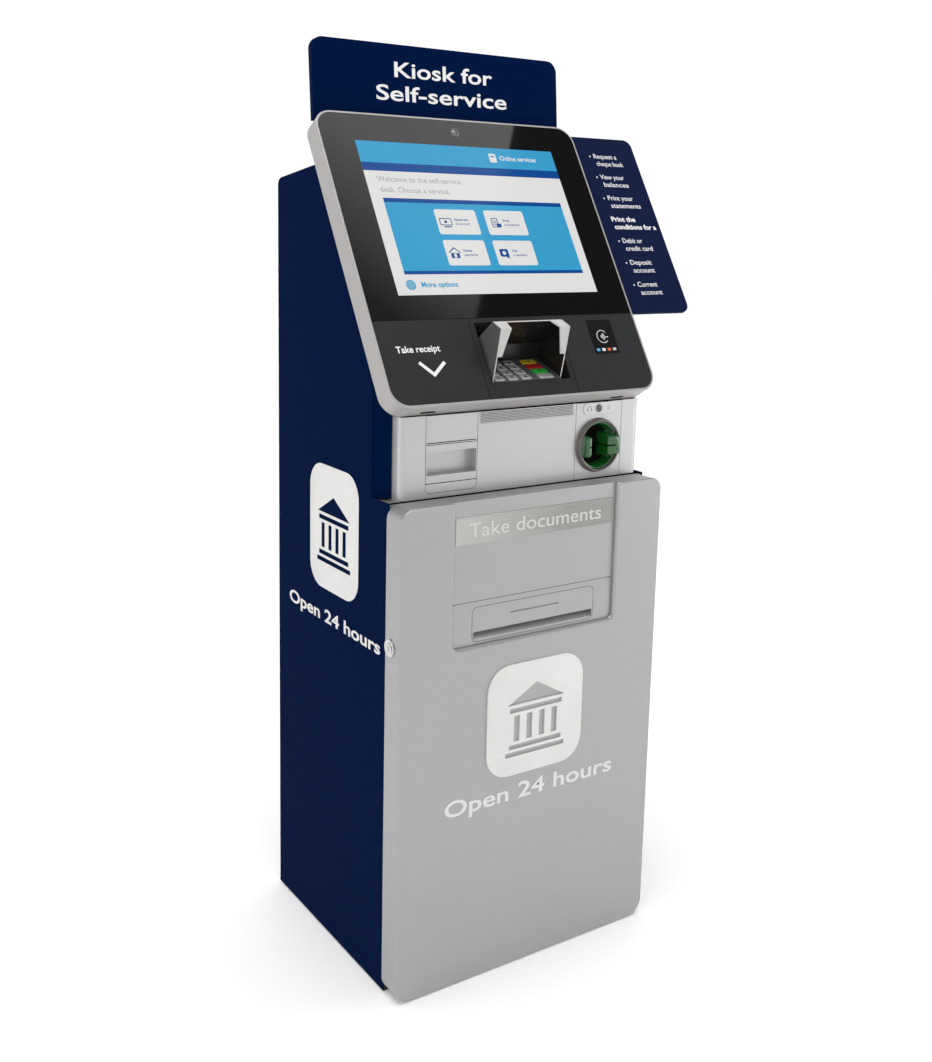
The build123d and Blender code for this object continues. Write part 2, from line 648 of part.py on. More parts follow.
def contactless_reader():
    x0, x1, s0, s1 = READER_X0 + GAP, READER_X1 - GAP, READER_S0 + GAP, READER_S1 - GAP
    return on_head(face_plate(x0, x1, s0, s1, -16, -0.6, 3.8))


def lcd_module():
    return on_head(face_plate(-LCD_HALF, LCD_HALF, LCD_S0, LCD_S1, -16, -PLATE_T - 0.2, 3))


def camera_lens():
    return on_head(Pos(CAMERA_X, CAMERA_S, -6.3) * Cylinder(CAMERA_R - GAP, 12))


def key_slots():
    slots = []
    names = (("key_star", "key_0", "key_hash"), ("key_7", "key_8", "key_9"))
    names += (("key_4", "key_5", "key_6"), ("key_1", "key_2", "key_3"))
    side = ("key_blank", "key_enter", "key_cancel", "key_clear")
    for row in range(4):
        for col in range(3):
            slots.append((names[row][col], KEY_X + KEY_COL * col, KEY_ROW * row, KEY_W))
        slots.append((side[row], FN_X, KEY_ROW * row, FN_W))
    return slots


def pinpad_body():
    half = SHIELD_HALF - SHIELD_T - 0.2
    body = Pos(0, 26.5, -18) * extrude(RectangleRounded(2 * half, 71, 4), amount=16)
    for _, x, u, w in key_slots():
        body -= Pos(x, u, -5.5) * Box(w + 2 * GAP, KEY_D + 2 * GAP, 8)
    return KEYPAD.location * body


def key_cap(x, u, w):
    cap = Pos(x, u, -6.5) * extrude(RectangleRounded(w, KEY_D, 2.6), amount=6.5)
    return KEYPAD.location * fillet(cap.edges().group_by(Axis.Z)[-1], 0.9)


def strip(p, q, x0, x1):
    length = math.hypot(q[0] - p[0], q[1] - p[1])
    ny = (q[1] - p[1]) / length * SHIELD_T
    nz = -(q[0] - p[0]) / length * SHIELD_T
    return prism_x([p, q, (q[0] + ny, q[1] + nz), (p[0] + ny, p[1] + nz)], x0, x1)


def beside_keys(u):
    drop = 8.0
    return (KEY_Y + u * _kc + drop * _ks, KEY_Z + u * _ks - drop * _kc)


def pin_shield():
    foot, knee, brow = head_yz(36.81, -2.99), head_yz(62.37, 21.52), head_yz(95.01, 52.12)
    crest, back, heel = head_yz(113.96, 37.68), head_yz(106.86, -28.8), head_yz(88.11, -45.19)
    side = [foot, knee, brow, crest, back, heel, beside_keys(60), beside_keys(-6)]
    outer, inner = SHIELD_HALF, SHIELD_HALF - SHIELD_T
    mid = (outer + inner) / 2
    body = prism_x(side, -outer, -inner) + prism_x(side, inner, outer)
    body += strip(crest, back, -mid, mid) + strip(back, heel, -mid, mid)
    for x0, x1 in ((-mid, -outer + FLANGE), (outer - FLANGE, mid)):
        body += strip(brow, crest, x0, x1) + strip(knee, brow, x0, x1)
    return body


def side_sign():
    back, front = -HEAD_T - 6, -HEAD_T
    sign = face_plate(SIGN_X0, SIGN_X0 + SIGN_W, SIGN_S0, SIGN_S1, back, front, 16)
    sign += block(SIGN_X0, SIGN_X0 + 42.5, SIGN_S0, SIGN_S1, back, front)
    half = HEAD_W / 2
    sign += block(half, half + 2.5, SIGN_S0 + 44.5, SIGN_S1 - 51.5, front - 1, -14)
    return on_head(sign)


def topper_sign():
    y, z = head_yz(HEAD_L + 1.11, -20.01)
    height = TOPPER_RISE / math.cos(math.radians(TOPPER_LEAN))
    half = TOPPER_W / 2
    plate = front_plate(-half, half, -60, height, 0, 10, 20)
    behind = on_head(block(-HEAD_W, HEAD_W, -200, HEAD_L, -200, 200))
    return Pos(0, y, z) * Rot(-TOPPER_LEAN, 0, 0) * plate - behind


PARTS = (
    base_plinth, inner_frame, left_side_panel, right_side_panel, rear_panel, top_cover, document_printer,
    pc_core, fan_frame, fan_rotor, power_inlet, mid_frame, receipt_bezel, speaker_grille, card_panel,
    card_bezel_ring, card_guide, audio_socket, card_reader, receipt_printer, paper_roll, door_cover,
    door_liner, document_panel, document_bezel, sign_plate, door_emblem, door_hinge_pins,
    door_hinge_leaves, lock_barrel, lock_plug, head_shell, display_glass, fascia_left, fascia_centre,
    fascia_right, contactless_reader, lcd_module, camera_lens, pinpad_body, pin_shield, side_sign,
    topper_sign,
)

for make in PARTS:
    save(make.__name__, make())
for key_name, key_x, key_u, key_w in key_slots():
    save(key_name, key_cap(key_x, key_u, key_w))
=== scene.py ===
import json
import math

import bmesh
import bpy
from mathutils import Matrix, Vector
from mathutils.geometry import tessellate_polygon


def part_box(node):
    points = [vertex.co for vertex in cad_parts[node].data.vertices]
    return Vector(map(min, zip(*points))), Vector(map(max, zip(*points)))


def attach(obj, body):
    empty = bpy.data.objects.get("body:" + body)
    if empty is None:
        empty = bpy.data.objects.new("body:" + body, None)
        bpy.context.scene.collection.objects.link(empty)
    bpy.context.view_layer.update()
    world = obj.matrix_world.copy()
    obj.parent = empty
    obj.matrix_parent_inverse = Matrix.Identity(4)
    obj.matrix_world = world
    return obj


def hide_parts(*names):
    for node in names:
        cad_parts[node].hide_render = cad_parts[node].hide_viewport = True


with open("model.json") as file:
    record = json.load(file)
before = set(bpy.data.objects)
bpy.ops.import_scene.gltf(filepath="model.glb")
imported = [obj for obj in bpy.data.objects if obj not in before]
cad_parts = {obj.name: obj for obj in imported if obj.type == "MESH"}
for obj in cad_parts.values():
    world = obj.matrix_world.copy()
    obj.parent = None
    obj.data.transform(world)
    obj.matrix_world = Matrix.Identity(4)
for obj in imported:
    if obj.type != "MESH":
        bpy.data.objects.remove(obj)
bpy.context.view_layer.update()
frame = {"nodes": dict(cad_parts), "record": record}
MM = 0.001
TAU = 2 * math.pi

# Sizes are millimetres. u runs to the right and v up a working face, n stands out of it.
HEAD_TILT = math.radians(30.76)
KEY_TILT = math.radians(20.6)
TOPPER_LEAN = math.radians(4.92)
CARD_CENTRE = (148.5, 837.0)
CARD_SLOT = (54.6, 2.4)
TEXT_DEPTH = 0.3
FONT_OVER_CAPITAL = 1.43
INK = 0.15  # how far printed marks stand proud
SEAM = 0.75  # width of the rubber between two panels


# ---------------------------------------------------------------- working faces
class Face:
    """A flat working face with its own right, up and outward directions."""

    def __init__(self, origin, right, up):
        self.origin = Vector(origin)
        self.right = Vector(right).normalized()
        self.up = Vector(up).normalized()
        self.out = self.right.cross(self.up)

    def at(self, u, v, n=0.0):
        return self.origin + (self.right * u + self.up * v + self.out * n) * MM

    def matrix(self, u=0.0, v=0.0, n=0.0):
        turned = Matrix((self.right, self.up, self.out)).transposed().to_4x4()
        turned.translation = self.at(u, v, n)
        return turned

    def moved(self, u, v, n=0.0):
        return Face(self.at(u, v, n), self.right, self.up)


def node_points(node):
    return [v.co for v in frame["nodes"][node].data.vertices]


def box_mm(node):
    """Left, right, bottom and top of a node, seen from the front."""
    low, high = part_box(node)
    return low.x / MM, high.x / MM, low.z / MM, high.z / MM


def centre_mm(node):
    x0, x1, z0, z1 = box_mm(node)
    return (x0 + x1) / 2, (z0 + z1) / 2


def leaning(angle):
    """The up and outward directions of a face that leans back by angle."""
    return Vector((0, math.sin(angle), math.cos(angle))), Vector((0, -math.cos(angle), math.sin(angle)))


door_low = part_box("door_cover")[0]
FRONT = Face((0, door_low.y, 0), (1, 0, 0), (0, 0, 1))
MID = Face((0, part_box("card_panel")[0].y, 0), (1, 0, 0), (0, 0, 1))
LEFT = Face((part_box("left_side_panel")[0].x, door_low.y, 0), (0, -1, 0), (0, 0, 1))
REAR = Face((0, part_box("rear_panel")[1].y, 0), (-1, 0, 0), (0, 0, 1))
head_up, head_out = leaning(HEAD_TILT)
head_s = min(p.dot(head_up) for p in node_points("head_shell"))
head_n = max(p.dot(head_out) for p in node_points("head_shell") if p.dot(head_up) < head_s + 0.02)
HEAD = Face(head_up * head_s + head_out * head_n, (1, 0, 0), head_up)
key_up = Vector((0, math.cos(KEY_TILT), math.sin(KEY_TILT)))
key_out = Vector((1, 0, 0)).cross(key_up)
topper_up, topper_out = leaning(TOPPER_LEAN)
topper_n = max(p.dot(topper_out) for p in node_points("topper_sign"))
topper_top = max(p.dot(topper_up) for p in node_points("topper_sign"))
TOPPER = Face(topper_up * topper_top + topper_out * topper_n, (1, 0, 0), topper_up)

# How far the side sign and the audio plate stand out of their faces, and the fascia's flat front.
SIGN_N = max((p - HEAD.origin).dot(head_out) for p in node_points("side_sign") if p.x > 0.3) / MM
plate_points = [p for p in node_points("audio_socket") if abs(p.x / MM - CARD_CENTRE[0]) > 10]
AUDIO_N = max(MID.origin.y - p.y for p in plate_points) / MM
fascia_us = [p.x / MM for p in node_points("mid_frame") if p.y < MID.origin.y + 0.0005]


# ---------------------------------------------------------------- outlines
def arc(cx, cy, r, a0, a1, steps):
    span = [math.radians(a0 + (a1 - a0) * i / steps) for i in range(steps + 1)]
    return [(cx + r * math.cos(a), cy + r * math.sin(a)) for a in span]


def circle(r, steps=48, cx=0.0, cy=0.0):
    return [(cx + r * math.cos(TAU * i / steps), cy + r * math.sin(TAU * i / steps)) for i in range(steps)]


def rounded(w, h, r, cx=0.0, cy=0.0, steps=6):
    points = []
    for sx, sy, start in ((1, 1, 0), (-1, 1, 90), (-1, -1, 180), (1, -1, 270)):
        points += arc(cx + sx * (w / 2 - r), cy + sy * (h / 2 - r), r, start, start + 90, steps)
    return points


def rect(w, h, cx=0.0, cy=0.0):
    return [(cx + sx * w / 2, cy + sy * h / 2) for sx, sy in ((1, 1), (-1, 1), (-1, -1), (1, -1))]


def hexagon(r, steps, apothem_turn=0.5):
    """A hexagon of apothem r, sampled with as many points as the circle round it."""
    points = []
    for i in range(steps):
        a = TAU * i / steps
        off = (a / (TAU / 6) + apothem_turn) % 1.0 - 0.5
        reach = r / math.cos(off * TAU / 6)
        points.append((reach * math.cos(a), reach * math.sin(a)))
    return points


def sector(r0, r1, a0, a1, cx=0.0, cy=0.0, steps=14):
    return arc(cx, cy, r1, a0, a1, steps) + arc(cx, cy, r0, a1, a0, steps)


def placed(name, data):
    """A new object in the scene."""
    obj = bpy.data.objects.new(name, data)
    bpy.context.scene.collection.objects.link(obj)
    return obj


def evaluated(obj):
    """An object's mesh with its modifiers applied, or a text's mesh."""
    bpy.context.view_layer.update()
    return bpy.data.meshes.new_from_object(obj.evaluated_get(bpy.context.evaluated_depsgraph_get()))


def rolled(soft, turn):
    """How far in and out a rolled edge of radius soft has come after turn degrees."""
    return soft * (1 - math.cos(math.radians(turn))), soft * math.sin(math.radians(turn))


# ---------------------------------------------------------------- mesh building
class Piece:
    """Collects closed shells and turns them into one named object."""

    def __init__(self):
        self.bm = bmesh.new()

    def loop(self, face, outline, n):
        return [self.bm.verts.new(face.at(u, v, n)) for u, v in outline]

    def walls(self, loops):
        """The faces between each closed loop of vertices and the next."""
        made = []
        for low, high in zip(loops, loops[1:]):
            for i in range(len(low)):
                j = (i + 1) % len(low)
                made.append(self.bm.faces.new((low[i], low[j], high[j], high[i])))
        return made

    def loft(self, face, rings, mat=0):
        loops = [self.loop(face, outline, n) for outline, n in rings]
        made = self.walls(loops)
        made.append(self.bm.faces.new(list(reversed(loops[0]))))
        made.append(self.bm.faces.new(loops[-1]))
        for f in made:
            f.material_index = mat
        return made

    def block(self, face, outline, n0, n1, mat=0):
        return self.loft(face, [(outline, n0), (outline, n1)], mat)

    def pad(self, face, w, h, r, cx, cy, n0, n1, soft=0.4, mat=0):
        """A rounded rectangle with its outer edge rolled over."""
        rings = [(rounded(w, h, r, cx, cy), n0), (rounded(w, h, r, cx, cy), n1 - soft)]
        for turn in (30, 60, 90):
            inset, rise = rolled(soft, turn)
            outline = rounded(w - 2 * inset, h - 2 * inset, max(r - inset, 0.05), cx, cy)
            rings.append((outline, n1 - soft + rise))
        return self.loft(face, rings, mat)

    def plate(self, face, rings, holes, mat=0):
        """A lofted outline with straight holes from its first ring to its last."""
        n0, n1 = rings[0][1], rings[-1][1]
        outer = [self.loop(face, outline, n) for outline, n in rings]
        inner = [[self.loop(face, hole, n) for n in (n0, n1)] for hole in holes]
        made = self.walls(outer)
        for low, high in inner:
            made += self.walls([high, low])
        for k in (0, -1):
            verts = outer[k] + [v for pair in inner for v in pair[k]]
            flat = [[Vector((u, v, 0)) for u, v in outline] for outline in [rings[k][0], *holes]]
            for a, b, c in tessellate_polygon(flat):
                if len({a, b, c}) == 3:
                    made.append(self.bm.faces.new((verts[a], verts[b], verts[c])))
        for f in made:
            f.material_index = mat
        return made

    def ring(self, face, outline, hole, n0, n1, mat=0):
        """A flat frame: an outline with one hole."""
        return self.plate(face, [(outline, n0), (outline, n1)], [hole], mat)

    def turned(self, face, profile, steps=64, mat=0):
        """A closed profile of (radius, n) points, turned about the face's outward axis."""
        loops = []
        for r, n in profile:
            if r < 1e-6:
                loops.append([self.bm.verts.new(face.at(0, 0, n))])
            else:
                loops.append([self.bm.verts.new(face.at(x, y, n)) for x, y in circle(r, steps)])
        made = []
        for low, high in zip(loops, loops[1:] + loops[:1]):
            if len(low) == 1 and len(high) == 1:
                continue
            for i in range(steps):
                j = (i + 1) % steps
                corners = [low[i % len(low)], low[j % len(low)], high[j % len(high)], high[i % len(high)]]
                unique = [v for k, v in enumerate(corners) if v not in corners[:k]]
                made.append(self.bm.faces.new(unique))
        for f in made:
            f.material_index = mat
        return made

    def tube(self, start, end, r, steps=10, mat=0):
        axis = (end - start).normalized()
        side = axis.orthogonal().normalized()
        face = Face(start, side, axis.cross(side))
        return self.block(face, circle(r, steps), 0, (end - start).length / MM, mat)

    def screw(self, face, u, v, r, height=1.6, mat=0):
        """A pan head screw with a hexagon socket."""
        at = face.moved(u, v)
        steps, edge = 24, 0.35 * height
        rings = [(circle(r, steps), 0), (circle(r, steps), height - edge), (circle(r - edge, steps), height)]
        rings += [(hexagon(r * 0.46, steps), height), (hexagon(r * 0.46, steps), height * 0.25)]
        return self.loft(at, rings, mat)

    def words(self, text, face, u, v, n, size, depth=TEXT_DEPTH, align="LEFT", weight=0.0, mat=0, fit=None):
        """Lettering whose capitals are size high, standing depth out of the face, set fit wide."""
        curve = bpy.data.curves.new("words", "FONT")
        curve.body = text
        curve.size = size * MM * FONT_OVER_CAPITAL
        curve.align_x = align
        curve.extrude = depth * MM / 2
        curve.offset = weight * MM
        curve.resolution_u = 4
        holder = placed("words", curve)
        mesh = evaluated(holder)
        if fit:
            wide = max(p.co.x for p in mesh.vertices) - min(p.co.x for p in mesh.vertices)
            mesh.transform(Matrix.Diagonal((fit * MM / wide, 1, 1, 1)))
        mesh.transform(face.matrix(u, v, n + depth / 2))
        first = len(self.bm.faces)
        self.bm.from_mesh(mesh)
        self.bm.faces.ensure_lookup_table()
        for f in self.bm.faces[first:]:
            f.material_index = mat
        bpy.data.objects.remove(holder)
        bpy.data.meshes.remove(mesh)
        bpy.data.curves.remove(curve)

    def done(self, name, body, materials, replaces=(), sharp=32.0):
        """Closes the piece: clean normals, smooth shading with sharp edges, materials and its body."""
        bmesh.ops.remove_doubles(self.bm, verts=self.bm.verts, dist=1e-7)
        bmesh.ops.recalc_face_normals(self.bm, faces=self.bm.faces)
        for f in self.bm.faces:
            f.smooth = True
        for e in self.bm.edges:
            if len(e.link_faces) != 2 or e.calc_face_angle(0) > math.radians(sharp):
                e.smooth = False
        mesh = bpy.data.meshes.new(name)
        self.bm.to_mesh(mesh)
        self.bm.free()
        for m in materials:
            mesh.materials.append(m)
        obj = placed(name, mesh)
        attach(obj, body)
        if replaces:
            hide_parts(*replaces)
        return obj


# ---------------------------------------------------------------- materials
class Tree:
    """A node tree with short ways to add, link and rescale."""

    def __init__(self, tree):
        self.tree = tree

    def node(self, kind, **settings):
        made = self.tree.nodes.new(kind)
        for key, value in settings.items():
            setattr(made, key, value)
        return made

    def link(self, a, b):
        self.tree.links.new(a, b)

    def ranged(self, value, low, high, from_low=0.3, from_high=0.7, **settings):
        spread = self.node("ShaderNodeMapRange", **settings)
        spread.inputs["From Min"].default_value = from_low
        spread.inputs["From Max"].default_value = from_high
        spread.inputs["To Min"].default_value = low
        spread.inputs["To Max"].default_value = high
        self.link(value, spread.inputs["Value"])
        return spread.outputs["Result"]

    def toward(self, source, direction):
        """The dot product of a vector with a fixed direction."""
        dot = self.node("ShaderNodeVectorMath", operation="DOT_PRODUCT")
        dot.inputs[1].default_value = direction
        self.link(source, dot.inputs[0])
        return dot.outputs["Value"]


class Shader(Tree):
    """A Principled material whose colour, roughness and relief come from noise in object space."""

    def __init__(self, name, **sockets):
        self.mat = bpy.data.materials.new(name)
        self.mat.use_nodes = True
        super().__init__(self.mat.node_tree)
        self.bsdf = self.tree.nodes["Principled BSDF"]
        self.coords = self.node("ShaderNodeTexCoord")
        for key, value in sockets.items():
            self.bsdf.inputs[key.replace("_", " ")].default_value = value

    def noise(self, scale, detail=3.0, stretch=(1, 1, 1), rough=0.5):
        mapping = self.node("ShaderNodeMapping")
        mapping.inputs["Scale"].default_value = stretch
        self.link(self.coords.outputs["Object"], mapping.inputs["Vector"])
        noise = self.node("ShaderNodeTexNoise")
        noise.inputs["Scale"].default_value = scale
        noise.inputs["Detail"].default_value = detail
        noise.inputs["Roughness"].default_value = rough
        self.link(mapping.outputs["Vector"], noise.inputs["Vector"])
        return noise.outputs["Fac"]

    def blend(self, factor, a, b):
        mix = self.node("ShaderNodeMix", data_type="RGBA")
        if isinstance(factor, float):
            mix.inputs["Factor"].default_value = factor
        else:
            self.link(factor, mix.inputs["Factor"])
        for socket, colour in (("A", a), ("B", b)):
            target = [i for i in mix.inputs if i.name == socket and i.type == "RGBA"][0]
            if isinstance(colour, tuple):
                target.default_value = (*colour, 1)
            else:
                self.link(colour, target)
        return [o for o in mix.outputs if o.type == "RGBA"][0]

    def colour(self, source):
        self.link(source, self.bsdf.inputs["Base Color"])

    def rough(self, source):
        self.link(source, self.bsdf.inputs["Roughness"])

    def relief(self, height, strength, distance):
        bump = self.node("ShaderNodeBump")
        bump.inputs["Strength"].default_value = strength
        bump.inputs["Distance"].default_value = distance * MM
        self.link(height, bump.inputs["Height"])
        self.link(bump.outputs["Normal"], self.bsdf.inputs["Normal"])


def tint(colour, amount):
    return tuple(min(1.0, c * amount) for c in colour)


def paint(name, colour, rough=0.38, metallic=0.0, flake=0.05, peel=0.12, **sockets):
    """Sprayed paint: fine flake, faint cloudiness and orange peel."""
    s = Shader(name, Metallic=metallic, **sockets)
    fine = s.noise(2600, 2)
    cloud = s.noise(5, 3)
    base = s.blend(s.ranged(fine, 0, 1), tint(colour, 1 - flake), tint(colour, 1 + flake))
    s.colour(s.blend(s.ranged(cloud, 0, 0.35), base, tint(colour, 0.93)))
    s.rough(s.ranged(s.noise(60, 4), rough - 0.04, rough + 0.05))
    s.relief(s.noise(480, 2), peel, 0.05)
    return s.mat


def moulded(name, colour, rough=0.45, grain=900, depth=0.25, spread=0.06, **sockets):
    """Moulded plastic: a fine spark-eroded grain and slightly uneven gloss."""
    s = Shader(name, **sockets)
    grain_noise = s.noise(grain, 3, rough=0.65)
    s.colour(s.blend(s.ranged(s.noise(40, 4), 0, 1), tint(colour, 1 - spread), tint(colour, 1 + spread)))
    s.rough(s.ranged(grain_noise, rough - 0.06, rough + 0.08))
    s.relief(grain_noise, depth, 0.05)
    return s.mat


def brushed(name, colour, rough=0.3, along=(4, 400, 400), metallic=1.0, depth=0.2, **sockets):
    """Metal brushed along one direction."""
    s = Shader(name, Metallic=metallic, **sockets)
    streaks = s.noise(4, 6, along, 0.7)
    cloud = s.noise(9, 4)
    base = s.blend(s.ranged(streaks, 0, 1), tint(colour, 0.82), tint(colour, 1.1))
    s.colour(s.blend(s.ranged(cloud, 0, 0.4), base, tint(colour, 0.85)))
    s.rough(s.ranged(streaks, rough - 0.08, rough + 0.12))
    s.relief(streaks, depth, 0.02)
    return s.mat


def sheen_painted_plate(name, bright, dull):
    """Brushed metal with a painted sheen: its colour is bright at one end and dull at the other along object
    x.
    """
    s = Shader(name, Metallic=0.8)
    split = s.node("ShaderNodeSeparateXYZ")
    s.link(s.coords.outputs["Object"], split.inputs["Vector"])
    streaks = s.noise(4, 6, (3, 300, 260), 0.7)
    # Painted sheen: the colour fades from bright at the left to dull at the right, standing in for the
    # plate's reflection.
    base = s.blend(s.ranged(split.outputs["X"], 0, 1, -0.15, 0.06), bright, dull)
    fine = s.blend(s.ranged(streaks, 0, 1), tint(dull, 0.8), tint(bright, 1.05))
    s.colour(s.blend(0.3, base, fine))
    s.rough(s.ranged(streaks, 0.26, 0.42))
    s.relief(streaks, 0.2, 0.02)
    return s.mat


def glossy(name, colour, rough=0.04, **sockets):
    """Glass or polished plastic with faint smears in its gloss."""
    s = Shader(name, **sockets)
    smear = s.noise(14, 5, (1, 0.4, 1), 0.6)
    s.colour(s.blend(s.ranged(s.noise(8, 3), 0, 1), tint(colour, 0.9), tint(colour, 1.1)))
    s.rough(s.ranged(smear, rough * 0.7, rough * 1.6))
    s.relief(smear, 0.02, 0.05)
    return s.mat


def lit(name, colour, strength, rough=0.12):
    """A lit part of the screen, under the same gloss as the glass."""
    s = Shader(name, Emission_Strength=strength, Specular_IOR_Level=0.12)
    backlight = s.noise(3.5, 2)
    glow = s.blend(s.ranged(backlight, 0, 1), tint(colour, 0.965), tint(colour, 1.0))
    s.link(glow, s.bsdf.inputs["Emission Color"])
    s.colour(s.blend(s.ranged(s.noise(900, 1), 0, 1), tint(colour, 0.02), tint(colour, 0.03)))
    s.rough(s.ranged(s.noise(20, 3), rough * 0.8, rough * 1.4))
    return s.mat


SILVER = (0.38, 0.38, 0.386)
NAVY = (0.0004, 0.0072, 0.041)
# One material for each of the record's material slots.
MATS = {
    "silver_door": paint("silver_door_paint", SILVER, 0.36, 0.55),
    "silver_paint": paint("silver_fascia_paint", tint(SILVER, 1.34), 0.34, 0.6),
    "head_paint": paint("warm_grey_paint", (0.4, 0.388, 0.38), 0.4, 0.25),
    "navy_paint": paint("navy_paint", NAVY, 0.55, 0.0, 0.12, 0.2, Specular_IOR_Level=0.006),
    "navy_sign": paint("navy_sign_paint", tint(NAVY, 1.1), 0.45, 0.0, 0.08, 0.1, Specular_IOR_Level=0.01),
    "black_steel": paint("black_powder_coat", (0.018, 0.018, 0.02), 0.55, 0.0, 0.2, 0.5),
    # The sign plate carries a painted sheen, bright at its left end and dull at its right.
    "brushed_plate": sheen_painted_plate("brushed_sign_plate_painted_sheen", (0.5, 0.505, 0.482), (0.25, 0.257, 0.24)),
    "emblem_white": moulded("emblem_white_plastic", (0.72, 0.715, 0.7), 0.4, 700, 0.1, 0.02),
    "bright_metal": brushed("plated_metal", (0.62, 0.61, 0.6), 0.22, (120, 120, 120), 1.0, 0.08),
    "black_glass": glossy("black_display_glass", (0.004, 0.004, 0.0042), 0.035, Specular_IOR_Level=0.35),
    "fascia_black": moulded(
        "charcoal_fascia", (0.02, 0.0208, 0.0218), 0.5, 1300, 0.3, Specular_IOR_Level=0.2
    ),
    "reader_black": glossy("reader_black_plastic", (0.008, 0.008, 0.009), 0.16),
    "module_dark": moulded("module_dark_plastic", (0.035, 0.036, 0.04), 0.5, 700, 0.3),
    "lens_glass": glossy("lens_glass", (0.16, 0.16, 0.17), 0.06, Coat_Weight=1.0),
    "pinpad_metal": brushed("pinpad_metal", (0.2, 0.2, 0.205), 0.42, (60, 60, 60), 0.7),
    "shield_grey": moulded("shield_grey_plastic", (0.5, 0.488, 0.48), 0.42, 1200, 0.12, 0.03),
    "key_grey": brushed("key_silver", (0.62, 0.62, 0.62), 0.32, (200, 200, 200), 0.55, 0.1),
    "key_green": moulded("key_green", (0.02, 0.42, 0.045), 0.35, 900, 0.1),
    "key_red": moulded("key_red", (0.42, 0.012, 0.014), 0.35, 900, 0.1),
    "key_yellow": moulded("key_yellow", (0.55, 0.42, 0.012), 0.35, 900, 0.1),
    "card_green": glossy("card_guide_green", (0.006, 0.082, 0.011), 0.12, Coat_Weight=0.6, IOR=1.5),
    "ring_grey": moulded("bezel_ring_grey", (0.15, 0.137, 0.13), 0.36, 900, 0.1),
    "socket_plate": moulded("socket_plate_plastic", (0.66, 0.65, 0.64), 0.4, 1100, 0.1, 0.02),
    "roll_paper": moulded("roll_paper", (0.8, 0.79, 0.76), 0.8, 260, 0.6, 0.03),
}
ink_dark = moulded("ink_dark", (0.02, 0.02, 0.022), 0.5, 900, 0.05)
ink_white = moulded("ink_white", (0.78, 0.78, 0.77), 0.5, 900, 0.05, 0.02)
ink_grey = moulded("ink_grey", (0.22, 0.22, 0.22), 0.5, 900, 0.05)
throat_black = moulded("throat_black", (0.0025, 0.003, 0.0025), 0.7, 600, 0.2, Specular_IOR_Level=0.05)
seam_dark = moulded("seam_rubber", (0.07, 0.07, 0.072), 0.7, 600, 0.2, Specular_IOR_Level=0.1)
ink_pale = moulded("ink_pale", (0.6, 0.61, 0.58), 0.45, 900, 0.05, 0.02)
shield_inner = glossy("shield_inner_black", (0.012, 0.012, 0.012), 0.22)
shield_outer = moulded("shield_outer_grey", (0.11, 0.108, 0.106), 0.4, 1200, 0.1)
plated = MATS["bright_metal"]
ring_metal = brushed("camera_ring_metal", (0.16, 0.16, 0.165), 0.35, (90, 90, 90), 0.8, 0.1)
CHIPS = (
    ("blue", (0.06, 0.36, 0.62)), ("white", (0.7, 0.72, 0.75)),
    ("orange", (0.72, 0.14, 0.03)), ("pale", (0.5, 0.5, 0.5)),
)
chips = [moulded("chip_" + name, colour, 0.4, 900, 0.05) for name, colour in CHIPS]

for part in frame["record"]["subparts"]:
    mesh = frame["nodes"][part["node"]].data
    mesh.materials.clear()
    mesh.materials.append(MATS[part["material_slot"]])
for node in ("document_panel", "document_bezel", "door_liner"):
    frame["nodes"][node].data.materials[0] = MATS["silver_door"]
slate_sign = paint("slate_sign_paint", (0.007, 0.013, 0.0445), 0.45, 0.0, 0.08, 0.1, Specular_IOR_Level=0.01)
frame["nodes"]["side_sign"].data.materials[0] = slate_sign


# ---------------------------------------------------------------- screen
SCREEN_N = -0.18
LAYER = 0.03
ICON_DEPTH = 0.02
PAGE = (385.0, 271.0, 0.5, 315.5)
BANNER_VS = (397, 412)
MENU = (-171, 176, 215.2, 348.5)
TILE = (78.5, 45, 4)
TILE_US, TILE_VS = (-45.5, 49.3), (308, 252.7)
ICON_US = (-68, 27)
WORD_US, WORD_VS = (-51, 44), (310, 254.5)
TILE_WORDS = (
    ("Statement", "of account"), ("Print", "a document"), ("Home", "payments"), ("Ask", "a question"),
)


def screen_colour(name, srgb, strength=1.0):
    linear = tuple((c / 255) ** 2.2 for c in srgb)
    return lit("screen_" + name, linear, strength)


WHITE, SKY, BLUE, GREY = range(4)
SCREEN_MATS = [
    screen_colour("white", (232, 232, 231), 0.9), screen_colour("sky", (60, 158, 205), 0.95),
    screen_colour("blue", (22, 78, 150), 0.9), screen_colour("grey", (176, 178, 178), 0.9),
]


def band(piece, u0, u1, v0, v1, layer, mat):
    n0 = SCREEN_N + LAYER * layer
    piece.block(HEAD, rect(u1 - u0, v1 - v0, (u0 + u1) / 2, (v0 + v1) / 2), n0, n0 + LAYER, mat)


def screen_page():
    """The page's coloured bands, each layer a little nearer than the one under it."""
    page = Piece()
    w, h, cu, cv = PAGE
    left, right, low, high = cu - w / 2, cu + w / 2, cv - h / 2, cv + h / 2
    menu_left, menu_right, menu_low, menu_high = MENU
    band(page, left, right, low, high, 0, WHITE)
    band(page, left, right, BANNER_VS[1], high, 1, SKY)
    band(page, left, right, *BANNER_VS, 1, BLUE)
    band(page, *MENU, 1, SKY)
    band(page, menu_left, menu_right, menu_high - 7.5, menu_high, 2, BLUE)
    band(page, menu_left, menu_right, menu_low, menu_low + 5.8, 2, BLUE)
    page.done("screen_page", "head", SCREEN_MATS)


def screen_tiles():
    tiles = Piece()
    n0 = SCREEN_N + 2 * LAYER
    for u in TILE_US:
        for v in TILE_VS:
            tiles.block(HEAD, rounded(*TILE, u, v), n0, n0 + LAYER, WHITE)
    tiles.done("screen_tiles", "head", SCREEN_MATS)


